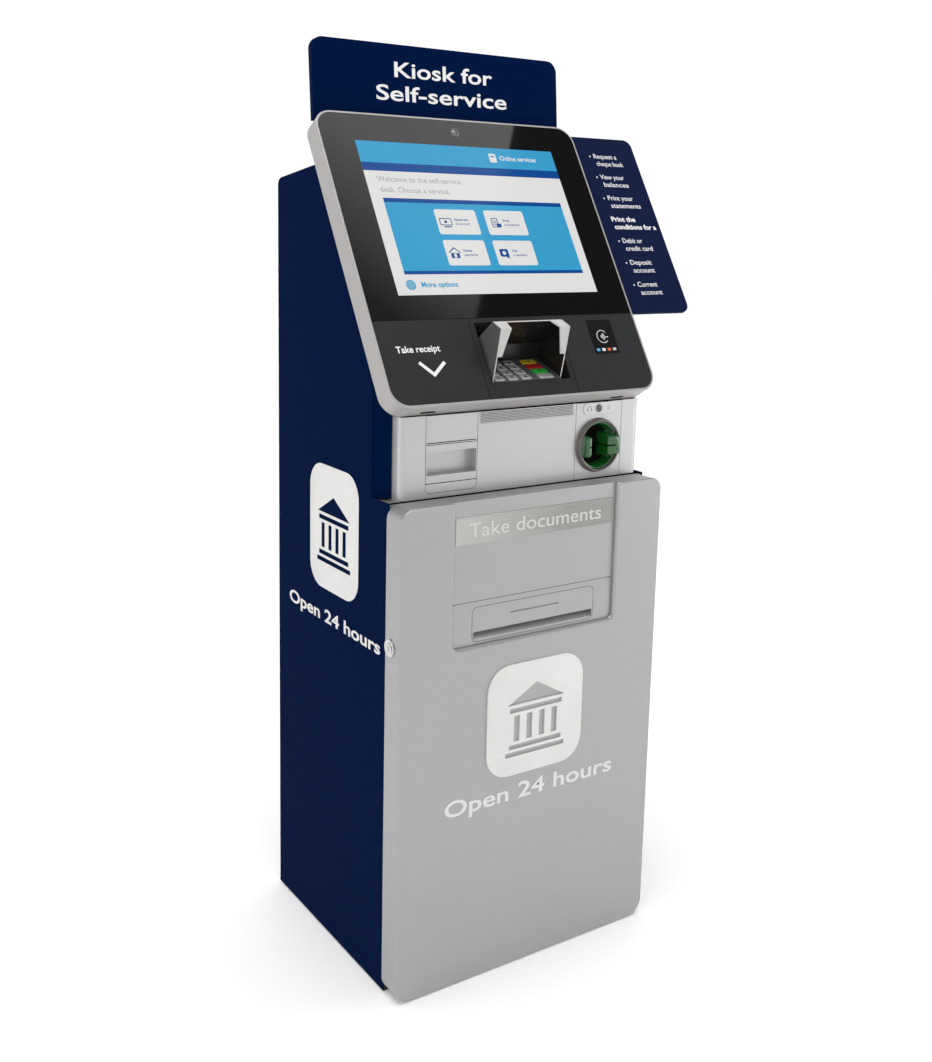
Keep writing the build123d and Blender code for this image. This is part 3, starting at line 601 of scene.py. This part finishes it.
def screen_icons():
    """One simple line icon on each tile, a round one at the foot and a page in the header."""
    icons = Piece()
    n0 = SCREEN_N + 3 * LAYER
    n1, n2 = n0 + ICON_DEPTH, n0 + 2 * ICON_DEPTH
    display = HEAD.moved(ICON_US[0], TILE_VS[0])
    icons.ring(display, rounded(23, 13, 1.5), rounded(20, 10, 1), n0, n1, BLUE)
    icons.block(display, circle(2.6, 20), n0, n1, BLUE)
    icons.block(display, rect(14, 2, 2, -9), n0, n1, BLUE)
    sheet = HEAD.moved(ICON_US[1], TILE_VS[0])
    icons.ring(sheet, rounded(13, 17, 1.5), rounded(10, 14, 1), n0, n1, BLUE)
    for v in (3, 0, -3):
        icons.block(sheet, rect(7, 1.2, 0, v), n0, n1, BLUE)
    icons.block(sheet, rounded(9, 7, 1.5, 7, -5), n1, n2, BLUE)
    house = HEAD.moved(ICON_US[0], TILE_VS[1])
    icons.block(house, [(12, 0), (0, 10), (-12, 0), (-9.5, 0), (0, 7.6), (9.5, 0)], n0, n1, BLUE)
    icons.ring(house, rect(16, 9, 0, -5), rect(5, 7, 0, -5), n0, n1, BLUE)
    bubble = HEAD.moved(ICON_US[1], TILE_VS[1])
    icons.ring(bubble, rounded(17, 14, 2.5), circle(3.6, 20), n0, n1, BLUE)
    icons.block(bubble, [(8, -6), (1, -6), (8, -11)], n0, n1, BLUE)
    foot = HEAD.moved(-165, 197.3)
    icons.block(foot, circle(8.6, 32), n0, n1, SKY)
    for r in (2.2, 5.2):
        icons.ring(foot, circle(r + 0.7, 28), circle(r, 28), n1, n2, WHITE)
    icons.ring(HEAD.moved(64, 431.5), rounded(14, 17, 2), rounded(8, 3, 1, 0, 3), n0, n1, WHITE)
    icons.done("screen_icons", "head", SCREEN_MATS)


def screen_words():
    words = Piece()
    n = SCREEN_N + 3 * LAYER
    lines = [
        ("Online services", 78, 428, 8.5, WHITE, 0.25),
        ("Welcome to the self-service", -172, 378, 9.5, GREY, 0.15),
        ("desk. Choose a service.", -172, 359, 9.5, GREY, 0.15),
    ]
    for k, (first, second) in enumerate(TILE_WORDS):
        u, v = WORD_US[k % 2], WORD_VS[k // 2]
        lines += [(first, u, v, 4.6, BLUE, 0.12), (second, u, v - 7.5, 4.6, BLUE, 0.05)]
    lines.append(("More options", -147, 193.5, 8.5, SKY, 0.35))
    for text, u, v, size, mat, weight in lines:
        words.words(text, HEAD, u, v, n, size, LAYER, "LEFT", weight, mat)
    words.done("screen_words", "head", SCREEN_MATS)


# ---------------------------------------------------------------- head details
GLASS_N = -0.2
CAMERA_AT = (3.3, 478)
READER_MID, READER_N = (172.2, 98.5), -0.6
CHIP_AT, CHIP_PITCH = (155.6, 75.4), 11.2
ARROW = ((-191, 68), (-168.3, 45.6), (-143, 66.6), (-146.6, 70.6), (-168, 52.8), (-187.2, 71.8))


def camera_ring():
    """A metal bezel, a domed lens and a dark ring on the lens."""
    ring = Piece()
    at = HEAD.moved(*CAMERA_AT, GLASS_N)
    ring.turned(at, [(8.1, -2.2), (8.1, 0.1), (7.7, 0.15), (6.6, -0.1), (5.6, -1.4), (5.6, -2.2)], 40, 0)
    ring.turned(at, [(5.6, -2.2), (5.6, -1.3), (4.2, -0.9), (2.4, -0.55), (0, -0.45), (0, -2.2)], 40, 1)
    ring.turned(at, [(2.6, -0.62), (2.6, -0.5), (1.9, -0.45), (1.9, -0.6)], 30, 2)
    mats = [ring_metal, MATS["lens_glass"], ink_dark]
    ring.done("camera_ring", "head", mats, ("camera_lens",))


def receipt_label():
    label = Piece()
    label.words("Take receipt", HEAD, -222.5, 86.5, GLASS_N, 10.4, 0.18, "LEFT", 0.28)
    label.block(HEAD, ARROW, GLASS_N, -0.02)
    label.done("receipt_label", "head", [ink_white])


def contactless_marks():
    """Radio waves beside a card outline, and four small coloured blanks."""
    marks = Piece()
    n0, n1 = READER_N, READER_N + 0.1
    at = HEAD.moved(READER_MID[0] + 0.3, READER_MID[1])
    for r in (3.6, 6.6, 9.6):
        marks.block(at.moved(-6, 0), sector(r - 0.65, r + 0.65, -38, 38), n0, n1)
    marks.block(at, sector(10.6, 11.6, 40, 320, steps=40), n0, n1)
    marks.block(at.moved(8, -1), rounded(7, 1.3, 0.6), n0, n1)
    for k in range(len(chips)):
        marks.block(HEAD, rounded(7.0, 4.8, 1.0, CHIP_AT[0] + CHIP_PITCH * k, CHIP_AT[1]), n0, n1, 1 + k)
    rim, opening = rounded(52.6, 62.8, 3.4, *READER_MID), rounded(51.4, 61.6, 2.9, *READER_MID)
    marks.ring(HEAD, rim, opening, n0, n0 + 0.12, 5)
    mats = [ink_white, *chips, MATS["module_dark"]]
    marks.done("contactless_marks", "head", mats)


# The shield's cheek as points behind the door's front and above the floor, from its foot forward.
SHIELD_PROFILE = (
    (43.0, 956.5), (35.0, 991.0), (25.4, 1034.7), (47.5, 1043.6), (101.0, 1003.5), (105.5, 979.0),
    (107.4, 971.1), (44.4, 947.5),
)
SHIELD_HALF = 66.0
SHEET_T = 2.0
FLANGE = 20.0
CREST_HALF = 42.0


def sheet(piece, one, other, mats):
    """A sheet between two outlines of points to the right, behind and above."""
    loops = [[piece.bm.verts.new(FRONT.at(x, z, -y)) for x, y, z in side] for side in (one, other)]
    for loop, mat in zip(loops, mats):
        piece.bm.faces.new(loop).material_index = mat
    piece.walls(loops)


def privacy_shield():
    """Two cheeks with folded front flanges under a sloping roof, all 2 mm thick."""
    grey = MATS["shield_grey"]
    cheeks = Piece()
    for side in (-1, 1):
        inner = [(side * (SHIELD_HALF - SHEET_T), y, z) for y, z in SHIELD_PROFILE]
        outer = [(side * SHIELD_HALF, y, z) for y, z in SHIELD_PROFILE]
        sheet(cheeks, inner, outer, (1, 2))
    cheeks.done("shield_cheeks", "head", [grey, shield_inner, shield_outer])

    roof = Piece()

    def fold(quad, p, q):
        """A sheet under quad, its thickness square to the line from p to q."""
        length = math.hypot(q[0] - p[0], q[1] - p[1])
        back, down = (q[1] - p[1]) / length * SHEET_T, -(q[0] - p[0]) / length * SHEET_T
        sheet(roof, quad, [(x, y + back, z + down) for x, y, z in quad], (0, 1))

    knee, brow, crest, back, heel = SHIELD_PROFILE[1:6]
    span = SHIELD_HALF - SHEET_T - 0.05
    fold([(-span, *crest), (span, *crest), (span, *back), (-span, *back)], crest, back)
    fold([(-span, *back), (span, *back), (span, *heel), (-span, *heel)], back, heel)
    for side in (-1, 1):
        wide, narrow = side * (SHIELD_HALF - FLANGE), side * (SHIELD_HALF - FLANGE / 2)
        edge, top = side * span, side * CREST_HALF
        fold([(edge, *brow), (wide, *brow), (top, *crest), (edge, *crest)], brow, crest)
        fold([(edge, *knee), (narrow, *knee), (wide, *brow), (edge, *brow)], knee, brow)
    roof.done("shield_roof", "head", [grey, shield_inner], ("pin_shield",))


KEY_LEGENDS = {
    "key_1": "1", "key_2": "2", "key_3": "3", "key_4": "4", "key_5": "5", "key_6": "6", "key_7": "7",
    "key_8": "8", "key_9": "9", "key_0": "0", "key_star": "*", "key_hash": "#", "key_cancel": "X",
    "key_clear": "<", "key_enter": "O",
}


def key_legends():
    for key, text in KEY_LEGENDS.items():
        ups = [p.dot(key_up) for p in node_points(key)]
        top = max(p.dot(key_out) for p in node_points(key))
        middle = Vector((centre_mm(key)[0] * MM, 0, 0))
        face = Face(middle + key_up * ((max(ups) + min(ups)) / 2) + key_out * top, (1, 0, 0), key_up)
        legend = Piece()
        drop = -5.6 if text == "*" else -3.3
        legend.words(text, face, 0, drop, -0.02, 6.6, 0.1, "CENTER", 0.22)
        legend.done(key + "_legend", key, [ink_dark])


# Each entry of the side sign: two lines with their widths, and whether it has a bullet.
SIGN_LINES = (
    ("Request a", 54, "cheque book", 63, True), ("View your", 56, "balances", 58, True),
    ("Print your", 59, "statements", 70, True), ("Print the", 56, "conditions for a", 98, False),
    ("Debit or", 46, "credit card", 63, True), ("Deposit", 50, "account", 50, True),
    ("Current", 46, "account", 50, True),
)
SIGN_TOP, SIGN_PITCH, SIGN_DROP = 468.0, 43.6, 15.6
BULLET_U, ENTRY_U, HEADING_U = 315.2, 323.0, 314.3


def sign_words():
    words = Piece()
    sign = HEAD.moved(0, 0, SIGN_N)
    for k, (first, wide, second, wide_below, bullet) in enumerate(SIGN_LINES):
        v = SIGN_TOP - SIGN_PITCH * k
        u, weight = (ENTRY_U, 0.1) if bullet else (HEADING_U, 0.4)
        words.words(first, sign, u, v, 0, 9.4, INK, "LEFT", weight, fit=wide)
        words.words(second, sign, u + 2.2, v - SIGN_DROP, 0, 9.4, INK, "LEFT", weight, fit=wide_below)
        if bullet:
            words.block(sign.moved(BULLET_U, v + 3.4), circle(1.6, 16), 0, INK)
    words.done("side_sign_words", "head", [ink_white])


def topper_words():
    words = Piece()
    for text, u, v, wide in (("Kiosk for", 3, -51.5, 194), ("Self-service", 2, -89.5, 258)):
        words.words(text, TOPPER, u, v, 0, 24, TEXT_DEPTH, "CENTER", 0.5, fit=wide)
    words.done("topper_words", "head", [ink_white])


# ---------------------------------------------------------------- fascia between door and head
def speaker_grille():
    """A plate with staggered rows of small round holes in front of a dark backing."""
    left, right, bottom, top = box_mm("speaker_grille")
    wide, tall = right - left, top - bottom
    middle = (left + right) / 2
    grille = Piece()
    rows, hole, rim, thick = 7, 0.95, 0.9, 0.5
    pitch = (tall - 2 * rim) / rows
    count = int((wide - 2 * rim) / pitch) - 1
    step = (wide - 2 * rim) / (count + 0.5)
    for row in range(rows):
        low_v = bottom + rim + pitch * row
        start = left + rim + step * (0.5 + 0.5 * (row % 2))
        holes = [circle(hole, 8, start + step * k, low_v + pitch / 2) for k in range(count)]
        v0 = bottom if row == 0 else low_v
        v1 = top if row == rows - 1 else low_v + pitch
        outline = rect(wide, v1 - v0, middle, (v0 + v1) / 2)
        grille.plate(MID, [(outline, -thick), (outline, 0)], holes)
    grille.block(MID, rect(wide - 4, tall - 1, middle, (bottom + top) / 2), -1.6, -0.9, 1)
    mats = [MATS["silver_paint"], throat_black]
    grille.done("perforated_grille", "cabinet", mats, ("speaker_grille",))


def cut(target, cutter_piece):
    """Subtracts a closed piece from target and leaves a plain mesh."""
    mesh = bpy.data.meshes.new("cutter")
    bmesh.ops.recalc_face_normals(cutter_piece.bm, faces=cutter_piece.bm.faces)
    cutter_piece.bm.to_mesh(mesh)
    cutter_piece.bm.free()
    cutter = placed("cutter", mesh)
    modifier = target.modifiers.new("cut", "BOOLEAN")
    modifier.operation = "DIFFERENCE"
    modifier.solver = "EXACT"
    modifier.use_self = True
    modifier.object = cutter
    old, result = target.data, evaluated(target)
    target.modifiers.clear()
    target.data = result
    bpy.data.objects.remove(cutter)
    bpy.data.meshes.remove(mesh)
    bpy.data.meshes.remove(old)


def lobe(piece, at, root, tip, n0, n1, r, soft=2.2):
    """A block that narrows from root to tip, each (width, height, place), with a rounded front edge."""
    (w0, h0, u0), (w1, h1, u1) = root, tip
    rings = [(rounded(w0, h0, r, u0, 0, 5), n0)]
    for turn in (0, 30, 60, 90):
        inset, rise = rolled(soft, turn)
        outline = rounded(w1 - 2 * inset, h1 - 2 * inset, max(r - inset, 0.4), u1, 0, 5)
        rings.append((outline, n1 - soft + rise))
    piece.loft(at, rings)


def card_guide():
    """A glossy dish with two lobes either side of the card's path, and the dark throat behind them."""
    at = MID.moved(*CARD_CENTRE)
    guide = Piece()
    dish = [(39.2, -13), (39.2, 3.0), (38.2, 4.0), (36.6, 3.6), (33.4, -1.5), (31.2, -9.0), (31.0, -13)]
    guide.turned(at, dish, 72)
    lobe(guide, at, (29, 42, 23.4), (26.5, 31, 24.0), -12.5, 15, 4.0)
    lobe(guide, at, (15, 44, -28.6), (11.5, 33, -27.4), -12.5, 14, 3.6)
    body = guide.done("card_guide_moulding", "cabinet", [MATS["card_green"]], ("card_guide",))
    slot = Piece()
    slot.block(at, rect(*CARD_SLOT), -13.5, 20)
    cut(body, slot)
    throat = Piece()
    throat.turned(at, [(30.9, -15), (30.9, -12.7), (29, -12.2), (0, -12.2), (0, -15)], 48)
    throat.done("card_throat", "cabinet", [throat_black])


def audio_marks():
    """The socket's metal collar, with a headphone mark to its left and a small frame to its right."""
    at = MID.moved(CARD_CENTRE[0], centre_mm("audio_socket")[1])
    marks = Piece()
    marks.turned(at, [(6.2, 0.9), (6.2, 2.2), (5.3, 2.9), (3.4, 3.1), (2.5, 2.6), (2.5, 0.9)], 36, 0)
    marks.turned(at, [(2.5, 2.35), (2.5, 2.45), (1.85, 2.45), (1.85, 2.35)], 36, 2)
    n0, n1 = AUDIO_N, AUDIO_N + INK
    phones = at.moved(-19.5, 0)
    marks.block(phones, sector(3.7, 4.7, 0, 180, steps=16), n0, n1, 1)
    for side in (-1, 1):
        marks.block(phones, rounded(2.2, 4.0, 0.8, side * 4.0, -1.6), n0, n1, 1)
    marks.ring(at, rounded(4.6, 5.6, 1.2, 20.5, 0), rounded(3.4, 4.4, 0.8, 20.5, 0), n0, n1, 1)
    marks.done("audio_marks", "cabinet", [ring_metal, ink_grey, throat_black])


# ---------------------------------------------------------------- door details
CAPTION = "Open 24 hours"


def bank_holes(w):
    """A small colonnaded building as closed outlines, w wide, centred on the origin."""
    k = w / 100.0
    holes = [[(50 * k, 22 * k), (0, 50 * k), (-50 * k, 22 * k)], rect(92 * k, 7 * k, 0, 14 * k)]
    holes += [rect(10 * k, 38 * k, c * k, -13 * k) for c in (-33, -11, 11, 33)]
    return holes + [rect(92 * k, 7 * k, 0, -40 * k), rect(104 * k, 7 * k, 0, -51 * k)]


def soft_plate(piece, face, w, h, r, cu, cv, n1, holes, edge=0.5):
    """A plate on the face with a softened front edge and holes placed about its middle."""
    rings = [(rounded(w, h, r, cu, cv, 12), 0), (rounded(w, h, r, cu, cv, 12), n1 - edge)]
    rings.append((rounded(w - edge, h - edge, r - edge / 2, cu, cv, 12), n1 - edge * 0.3))
    rings.append((rounded(w - 2 * edge, h - 2 * edge, r - edge, cu, cv, 12), n1))
    piece.plate(face, rings, [[(u + cu, v + cv) for u, v in hole] for hole in holes])


def door_emblem():
    x0, x1, z0, z1 = box_mm("door_emblem")
    white = [MATS["emblem_white"]]
    emblem = Piece()
    soft_plate(emblem, FRONT, x1 - x0, z1 - z0, 42, *centre_mm("door_emblem"), 2.8, bank_holes(112))
    emblem.done("emblem_plate", "door", white, ("door_emblem",))
    words = Piece()
    words.words(CAPTION, FRONT, 0, 288, 0, 26, 0.6, "CENTER", 0.6, fit=334)
    words.done("door_caption", "door", white)


def side_emblem():
    emblem = Piece()
    soft_plate(emblem, LEFT, 163, 205, 40, -213.5, 703.5, 0.4, bank_holes(108), 0.12)
    emblem.words(CAPTION, LEFT, -218, 546, 0, 21, 0.35, "CENTER", 0.6, fit=310)
    emblem.done("side_emblem", "cabinet", [MATS["emblem_white"]])


def sign_plate_words():
    plate_n = (door_low.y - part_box("sign_plate")[0].y) / MM
    v = centre_mm("sign_plate")[1] - 11.0
    words = Piece()
    words.words("Take documents", FRONT, 0, v, plate_n, 22.0, 0.25, "CENTER", 0.05, fit=256)
    words.done("sign_plate_words", "door", [ink_pale])


# ---------------------------------------------------------------- rear and inside
def rear_details():
    """Screws round the rear panel, the fan and the power inlet."""
    panel = [(u, v) for u in (-234, 234) for v in (26, 320, 620, 920, 1215)] + [(0, 26), (0, 1215)]
    fan_x, fan_v = centre_mm("fan_frame")
    inlet_x, inlet_v = centre_mm("power_inlet")
    fan = [(41 * su - fan_x, fan_v + 41 * sv) for su in (-1, 1) for sv in (-1, 1)]
    inlet = [(20 * su - inlet_x, inlet_v) for su in (-1, 1)]
    screws = Piece()
    for places, r, height in ((panel, 4.0, 1.6), (fan, 3.0, 1.3), (inlet, 2.2, 1.0)):
        for u, v in places:
            screws.screw(REAR, u, v, r, height)
    screws.done("rear_screws", "cabinet", [plated])


def inside_details():
    """Fixings and handles on the computer and the document printer behind the door."""
    x, z = centre_mm("pc_core")
    front = Face((x * MM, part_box("pc_core")[0].y, z * MM), (1, 0, 0), (0, 0, 1))
    fixings = Piece()
    for su in (-1, 1):
        for v in (-60, 60):
            fixings.screw(front, 118 * su, v + 8, 4.5, 2.4)
    fixings.done("computer_screws", "cabinet", [plated])
    panel = Piece()
    panel.pad(front, 44, 26, 3, -88, 76, 0, 2.2, 0.8)
    for u, mat in ((-102, 1), (-88, 1), (-74, 2)):
        panel.pad(front, 8, 8, 1.5, u, 76, 2.0, 3.4, 0.5, mat)
    mats = [MATS["module_dark"], plated, MATS["key_green"]]
    panel.done("computer_switches", "cabinet", mats)
    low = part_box("document_printer")[0]
    tray = Face((centre_mm("document_printer")[0] * MM, low.y + 0.026, low.z), (1, 0, 0), (0, 0, 1))
    pulls = Piece()
    for v in (90, 168):
        for su in (-1, 1):
            pulls.tube(tray.at(su * 40, v, 0), tray.at(su * 40, v, 9), 3.0, 16)
        pulls.tube(tray.at(-46, v, 9), tray.at(46, v, 9), 3.6, 16)
    pulls.done("printer_pulls", "cabinet", [plated])


def strip(piece, face, path, width, n0, n1, mat=0):
    """A thin strip of even width along an open path on the face."""
    sides = []
    for k, (u, v) in enumerate(path):
        before, after = path[max(k - 1, 0)], path[min(k + 1, len(path) - 1)]
        du, dv = after[0] - before[0], after[1] - before[1]
        length = math.hypot(du, dv)
        sides.append((-dv / length * width / 2, du / length * width / 2))
    left = [(u + a, v + b) for (u, v), (a, b) in zip(path, sides)]
    right = [(u - a, v - b) for (u, v), (a, b) in zip(path, sides)]
    piece.block(face, left + right[::-1], n0, n1, mat)


def ring_seam(piece, face, node, r, width, n0, n1):
    """A thin band round the outline of a node with corners of radius r."""
    x0, x1, z0, z1 = box_mm(node)
    w, h, middle = x1 - x0, z1 - z0, centre_mm(node)
    outer = rounded(w + width, h + width, r + width / 2, *middle)
    piece.ring(face, outer, rounded(w - width, h - width, r - width / 2, *middle), n0, n1)


RUBBER = (0.02, 0.08)
RECEIPT_R = 7.7
# Each groove of the receipt outlet: its bottom, top and depth, and how far it stops short of the sides.
GROOVES = ((75.1, 76.6, 0.9, 4.2), (72.7, 73.7, 0.5, 1.0), (13.7, 15.4, 0.4, 1.0))


def fascia_seams():
    """Dark rubber in the joints between the panels, and the shadowed grooves of the receipt outlet."""
    seams = Piece()
    r = RECEIPT_R
    x0, x1, z0, z1 = box_mm("receipt_bezel")
    path = [(x0, z1)] + arc(x0 + r, z0 + r, r, 180, 270, 8) + arc(x1 - r, z0 + r, r, 270, 360, 8) + [(x1, z1)]
    strip(seams, MID, path, SEAM, *RUBBER)
    for low_v, high_v, depth, short in GROOVES:
        groove = rect(x1 - x0 - short, high_v - low_v, (x0 + x1) / 2, z0 + (low_v + high_v) / 2)
        seams.block(MID, groove, -depth - 0.4, -depth, 1)
    x0, x1, z0, z1 = box_mm("card_panel")
    for u in (x0, x1):
        seams.block(MID, rect(SEAM, z1 - z0, u, (z0 + z1) / 2), *RUBBER)
    wide, middle = max(fascia_us) - min(fascia_us), (max(fascia_us) + min(fascia_us)) / 2
    seams.block(MID, rect(wide, 2.6, middle, box_mm("mid_frame")[2] + 7.8), 0.05, 0.35, 1)
    seams.done("fascia_seams", "cabinet", [seam_dark, throat_black])


def door_seams():
    n0 = (door_low.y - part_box("document_panel")[0].y) / MM + 0.03
    n1 = n0 + 0.06
    seams = Piece()
    x0, x1, _, z1 = box_mm("document_panel")
    seams.block(FRONT, rect(x1 - x0 - 1, 0.9, (x0 + x1) / 2, z1 + 0.3), n0, n1)
    ring_seam(seams, FRONT, "document_bezel", 9.7, 0.8, n0, n1)
    seams.done("door_seams", "door", [seam_dark])


def head_seams():
    """The joints between the glass and the three lower fascias, and a black sheet painted as the shade at the
    back of the PIN pad well.
    """
    seams = Piece()
    for u in (-82.0, 89.0):
        seams.block(HEAD, rect(0.8, 134.5, u, 71.5), GLASS_N, GLASS_N + 0.08)
    seams.block(HEAD, rect(499.0, 0.9, 0, 139.0), GLASS_N, GLASS_N + 0.08)
    seams.done("head_seams", "head", [throat_black])
    # Painted shade: a thin black sheet in the well's open gap, hiding the silver shell back that would show
    # there.
    liner = Piece()
    liner.block(HEAD, rect(152.0, 17.5, 4.1, 122.4), -32.8, -32.3)
    liner.done("well_painted_shade", "head", [throat_black])


def head_notch_painted_shade():
    """Two black pads under the head's lower edge, painted as the shade in two shallow finger notches."""
    under = Face(HEAD.origin, HEAD.right, -HEAD.out)
    notches = Piece()
    for u in (-182.0, 182.0):
        notches.pad(under, 26, 5.4, 2.6, u, 24.0, -0.4, 0.12, 0.05)
    notches.done("head_notch_painted_shade", "head", [throat_black])


# ---------------------------------------------------------------- the pieces
screen_page()
screen_tiles()
screen_icons()
screen_words()
camera_ring()
receipt_label()
contactless_marks()
privacy_shield()
key_legends()
sign_words()
topper_words()
speaker_grille()
card_guide()
audio_marks()
door_emblem()
side_emblem()
sign_plate_words()
rear_details()
inside_details()
fascia_seams()
door_seams()
head_seams()
head_notch_painted_shade()


# ---------------------------------------------------------------- floor, light, camera
FLOOR_REACH, FLOOR_GLOW = 30.0, 0.15


def floor():
    mesh = bpy.data.meshes.new("floor")
    corners = [(x * FLOOR_REACH, y * FLOOR_REACH, 0) for x, y in ((-1, -1), (1, -1), (1, 1), (-1, 1))]
    mesh.from_pydata(corners, [], [(0, 1, 2, 3)])
    plane = placed("floor", mesh)
    s = Shader("floor_pale", Emission_Strength=FLOOR_GLOW, Roughness=0.8, Specular_IOR_Level=0.1)
    s.colour(s.blend(s.ranged(s.noise(0.8, 2), 0, 1), (0.88, 0.88, 0.88), (0.9, 0.9, 0.9)))
    mesh.materials.append(s.mat)


def area(name, place, target, size, power, colour=(1, 1, 1), up=(0, 0, 1)):
    """A softbox at place, turned towards target."""
    data = bpy.data.lights.new(name, "AREA")
    data.shape = "RECTANGLE"
    data.size, data.size_y = size
    data.energy = power
    data.color = colour
    lamp = placed(name, data)
    back = (Vector(place) - Vector(target)).normalized()
    right = Vector(up).cross(back).normalized()
    lamp.matrix_world = Matrix((right, back.cross(right), back)).transposed().to_4x4()
    lamp.matrix_world.translation = Vector(place)
    return data


def faded(data, base, across, along, low=0.1):
    """Lets a softbox fade over its own face: base plus a share across and along it."""
    data.use_nodes = True
    tree = Tree(data.node_tree)
    place = tree.node("ShaderNodeNewGeometry")
    reach = tree.toward(place.outputs["Parametric"], (across, along, 0))
    strength = tree.ranged(reach, low, 1.0, low - base, 1.0 - base)
    tree.link(strength, data.node_tree.nodes["Emission"].inputs["Strength"])


HORIZON, SKY_MID, ZENITH = 1.04, 0.28, 3.6
HORIZON_HEIGHTS, CEILING_HEIGHTS = (0.2, 0.42), (0.8, 0.93)
DARK_SIDE = Vector((0.60, -0.39, 0.70)).normalized()
WARM = (1, 0.985, 0.97)
GLASS_LAMP, KEY_LAMP, LEFT_LAMP, RIGHT_LAMP = 17.4, 9.0, 6.0, 13.0
# The edge of the glass softbox, whose reflection ends in a line across the display.
EDGE_TOP, EDGE_LOW = Vector((1.31, -0.56, 2.85)), Vector((1.07, -1.03, 2.42))
GLASS_MID = Vector((0, -0.05, 1.15))
GLASS_SIZE = (1.5, 1.6)


def studio():
    """A bright horizon and ceiling with darker walls, darkest where the display looks."""
    world = bpy.data.worlds.new("studio")
    bpy.context.scene.world = world
    world.use_nodes = True
    tree = Tree(world.node_tree)
    coords = tree.node("ShaderNodeTexCoord")
    sky = coords.outputs["Generated"]
    split = tree.node("ShaderNodeSeparateXYZ")
    tree.link(sky, split.inputs["Vector"])
    height = split.outputs["Z"]
    smooth = {"interpolation_type": "SMOOTHSTEP"}
    low = tree.ranged(height, HORIZON, SKY_MID, *HORIZON_HEIGHTS, **smooth)
    high = tree.ranged(height, 0.0, ZENITH - SKY_MID, *CEILING_HEIGHTS, **smooth)
    dark = tree.ranged(tree.toward(sky, DARK_SIDE), 1.0, 0.3, 0.72, 0.9, **smooth)
    glow = tree.node("ShaderNodeMath", operation="ADD")
    strength = tree.node("ShaderNodeMath", operation="MULTIPLY")
    tree.link(low, glow.inputs[0])
    tree.link(high, glow.inputs[1])
    tree.link(glow.outputs["Value"], strength.inputs[0])
    tree.link(dark, strength.inputs[1])
    background = world.node_tree.nodes["Background"]
    tree.link(strength.outputs["Value"], background.inputs["Strength"])
    background.inputs["Color"].default_value = (1, 1, 1, 1)

    along = (EDGE_TOP - EDGE_LOW).normalized()
    edge_mid = (EDGE_TOP + EDGE_LOW) / 2
    back = (edge_mid - GLASS_MID).normalized()
    right = along.cross(back).normalized()
    centre = edge_mid - right * (GLASS_SIZE[0] / 2) + along * 0.2
    glass = area("glass_softbox", centre, centre - back, GLASS_SIZE, GLASS_LAMP, up=along)
    faded(glass, -1.44, 1.35, 3.04)
    area("key_softbox", (-0.9, -1.5, 2.7), (0, 0, 1.0), (1.6, 1.6), KEY_LAMP, WARM)
    area("right_softbox", (2.3, -1.5, 1.1), (0, 0, 0.8), (0.9, 1.9), RIGHT_LAMP)
    area("left_softbox", (-2.6, 0.2, 1.3), (0, 0, 0.9), (1.2, 1.8), LEFT_LAMP, WARM)


# The viewpoint fitted to the photograph, for a frame of 932 by 1062.
CAMERA_PLACE = Vector((-1.10584, -1.62155, 1.18602))
CAMERA_FORWARD = Vector((0.5336, 0.8298, -0.1636)).normalized()
CAMERA_LEVEL = Vector((0.8411, -0.5409, 0)).normalized()
CAMERA_ROLL = math.radians(1.041)
CAMERA_SHIFT = (0.0292, -0.1026)
SENSOR_MM, FRAME_HEIGHT, FOCAL_IN_PIXELS = 36.0, 1062, 1189.4


def camera():
    up = CAMERA_LEVEL.cross(CAMERA_FORWARD)
    right_rolled = CAMERA_LEVEL * math.cos(CAMERA_ROLL) + up * math.sin(CAMERA_ROLL)
    up_rolled = up * math.cos(CAMERA_ROLL) - CAMERA_LEVEL * math.sin(CAMERA_ROLL)
    data = bpy.data.cameras.new("camera")
    data.sensor_fit = "VERTICAL"
    data.sensor_height = SENSOR_MM
    data.lens = SENSOR_MM * FOCAL_IN_PIXELS / FRAME_HEIGHT
    data.shift_x, data.shift_y = CAMERA_SHIFT
    cam = placed("camera", data)
    cam.matrix_world = Matrix((right_rolled, up_rolled, -CAMERA_FORWARD)).transposed().to_4x4()
    cam.matrix_world.translation = CAMERA_PLACE
    bpy.context.scene.camera = cam


floor()
studio()
camera()
bpy.context.scene.view_settings.view_transform = "Standard"
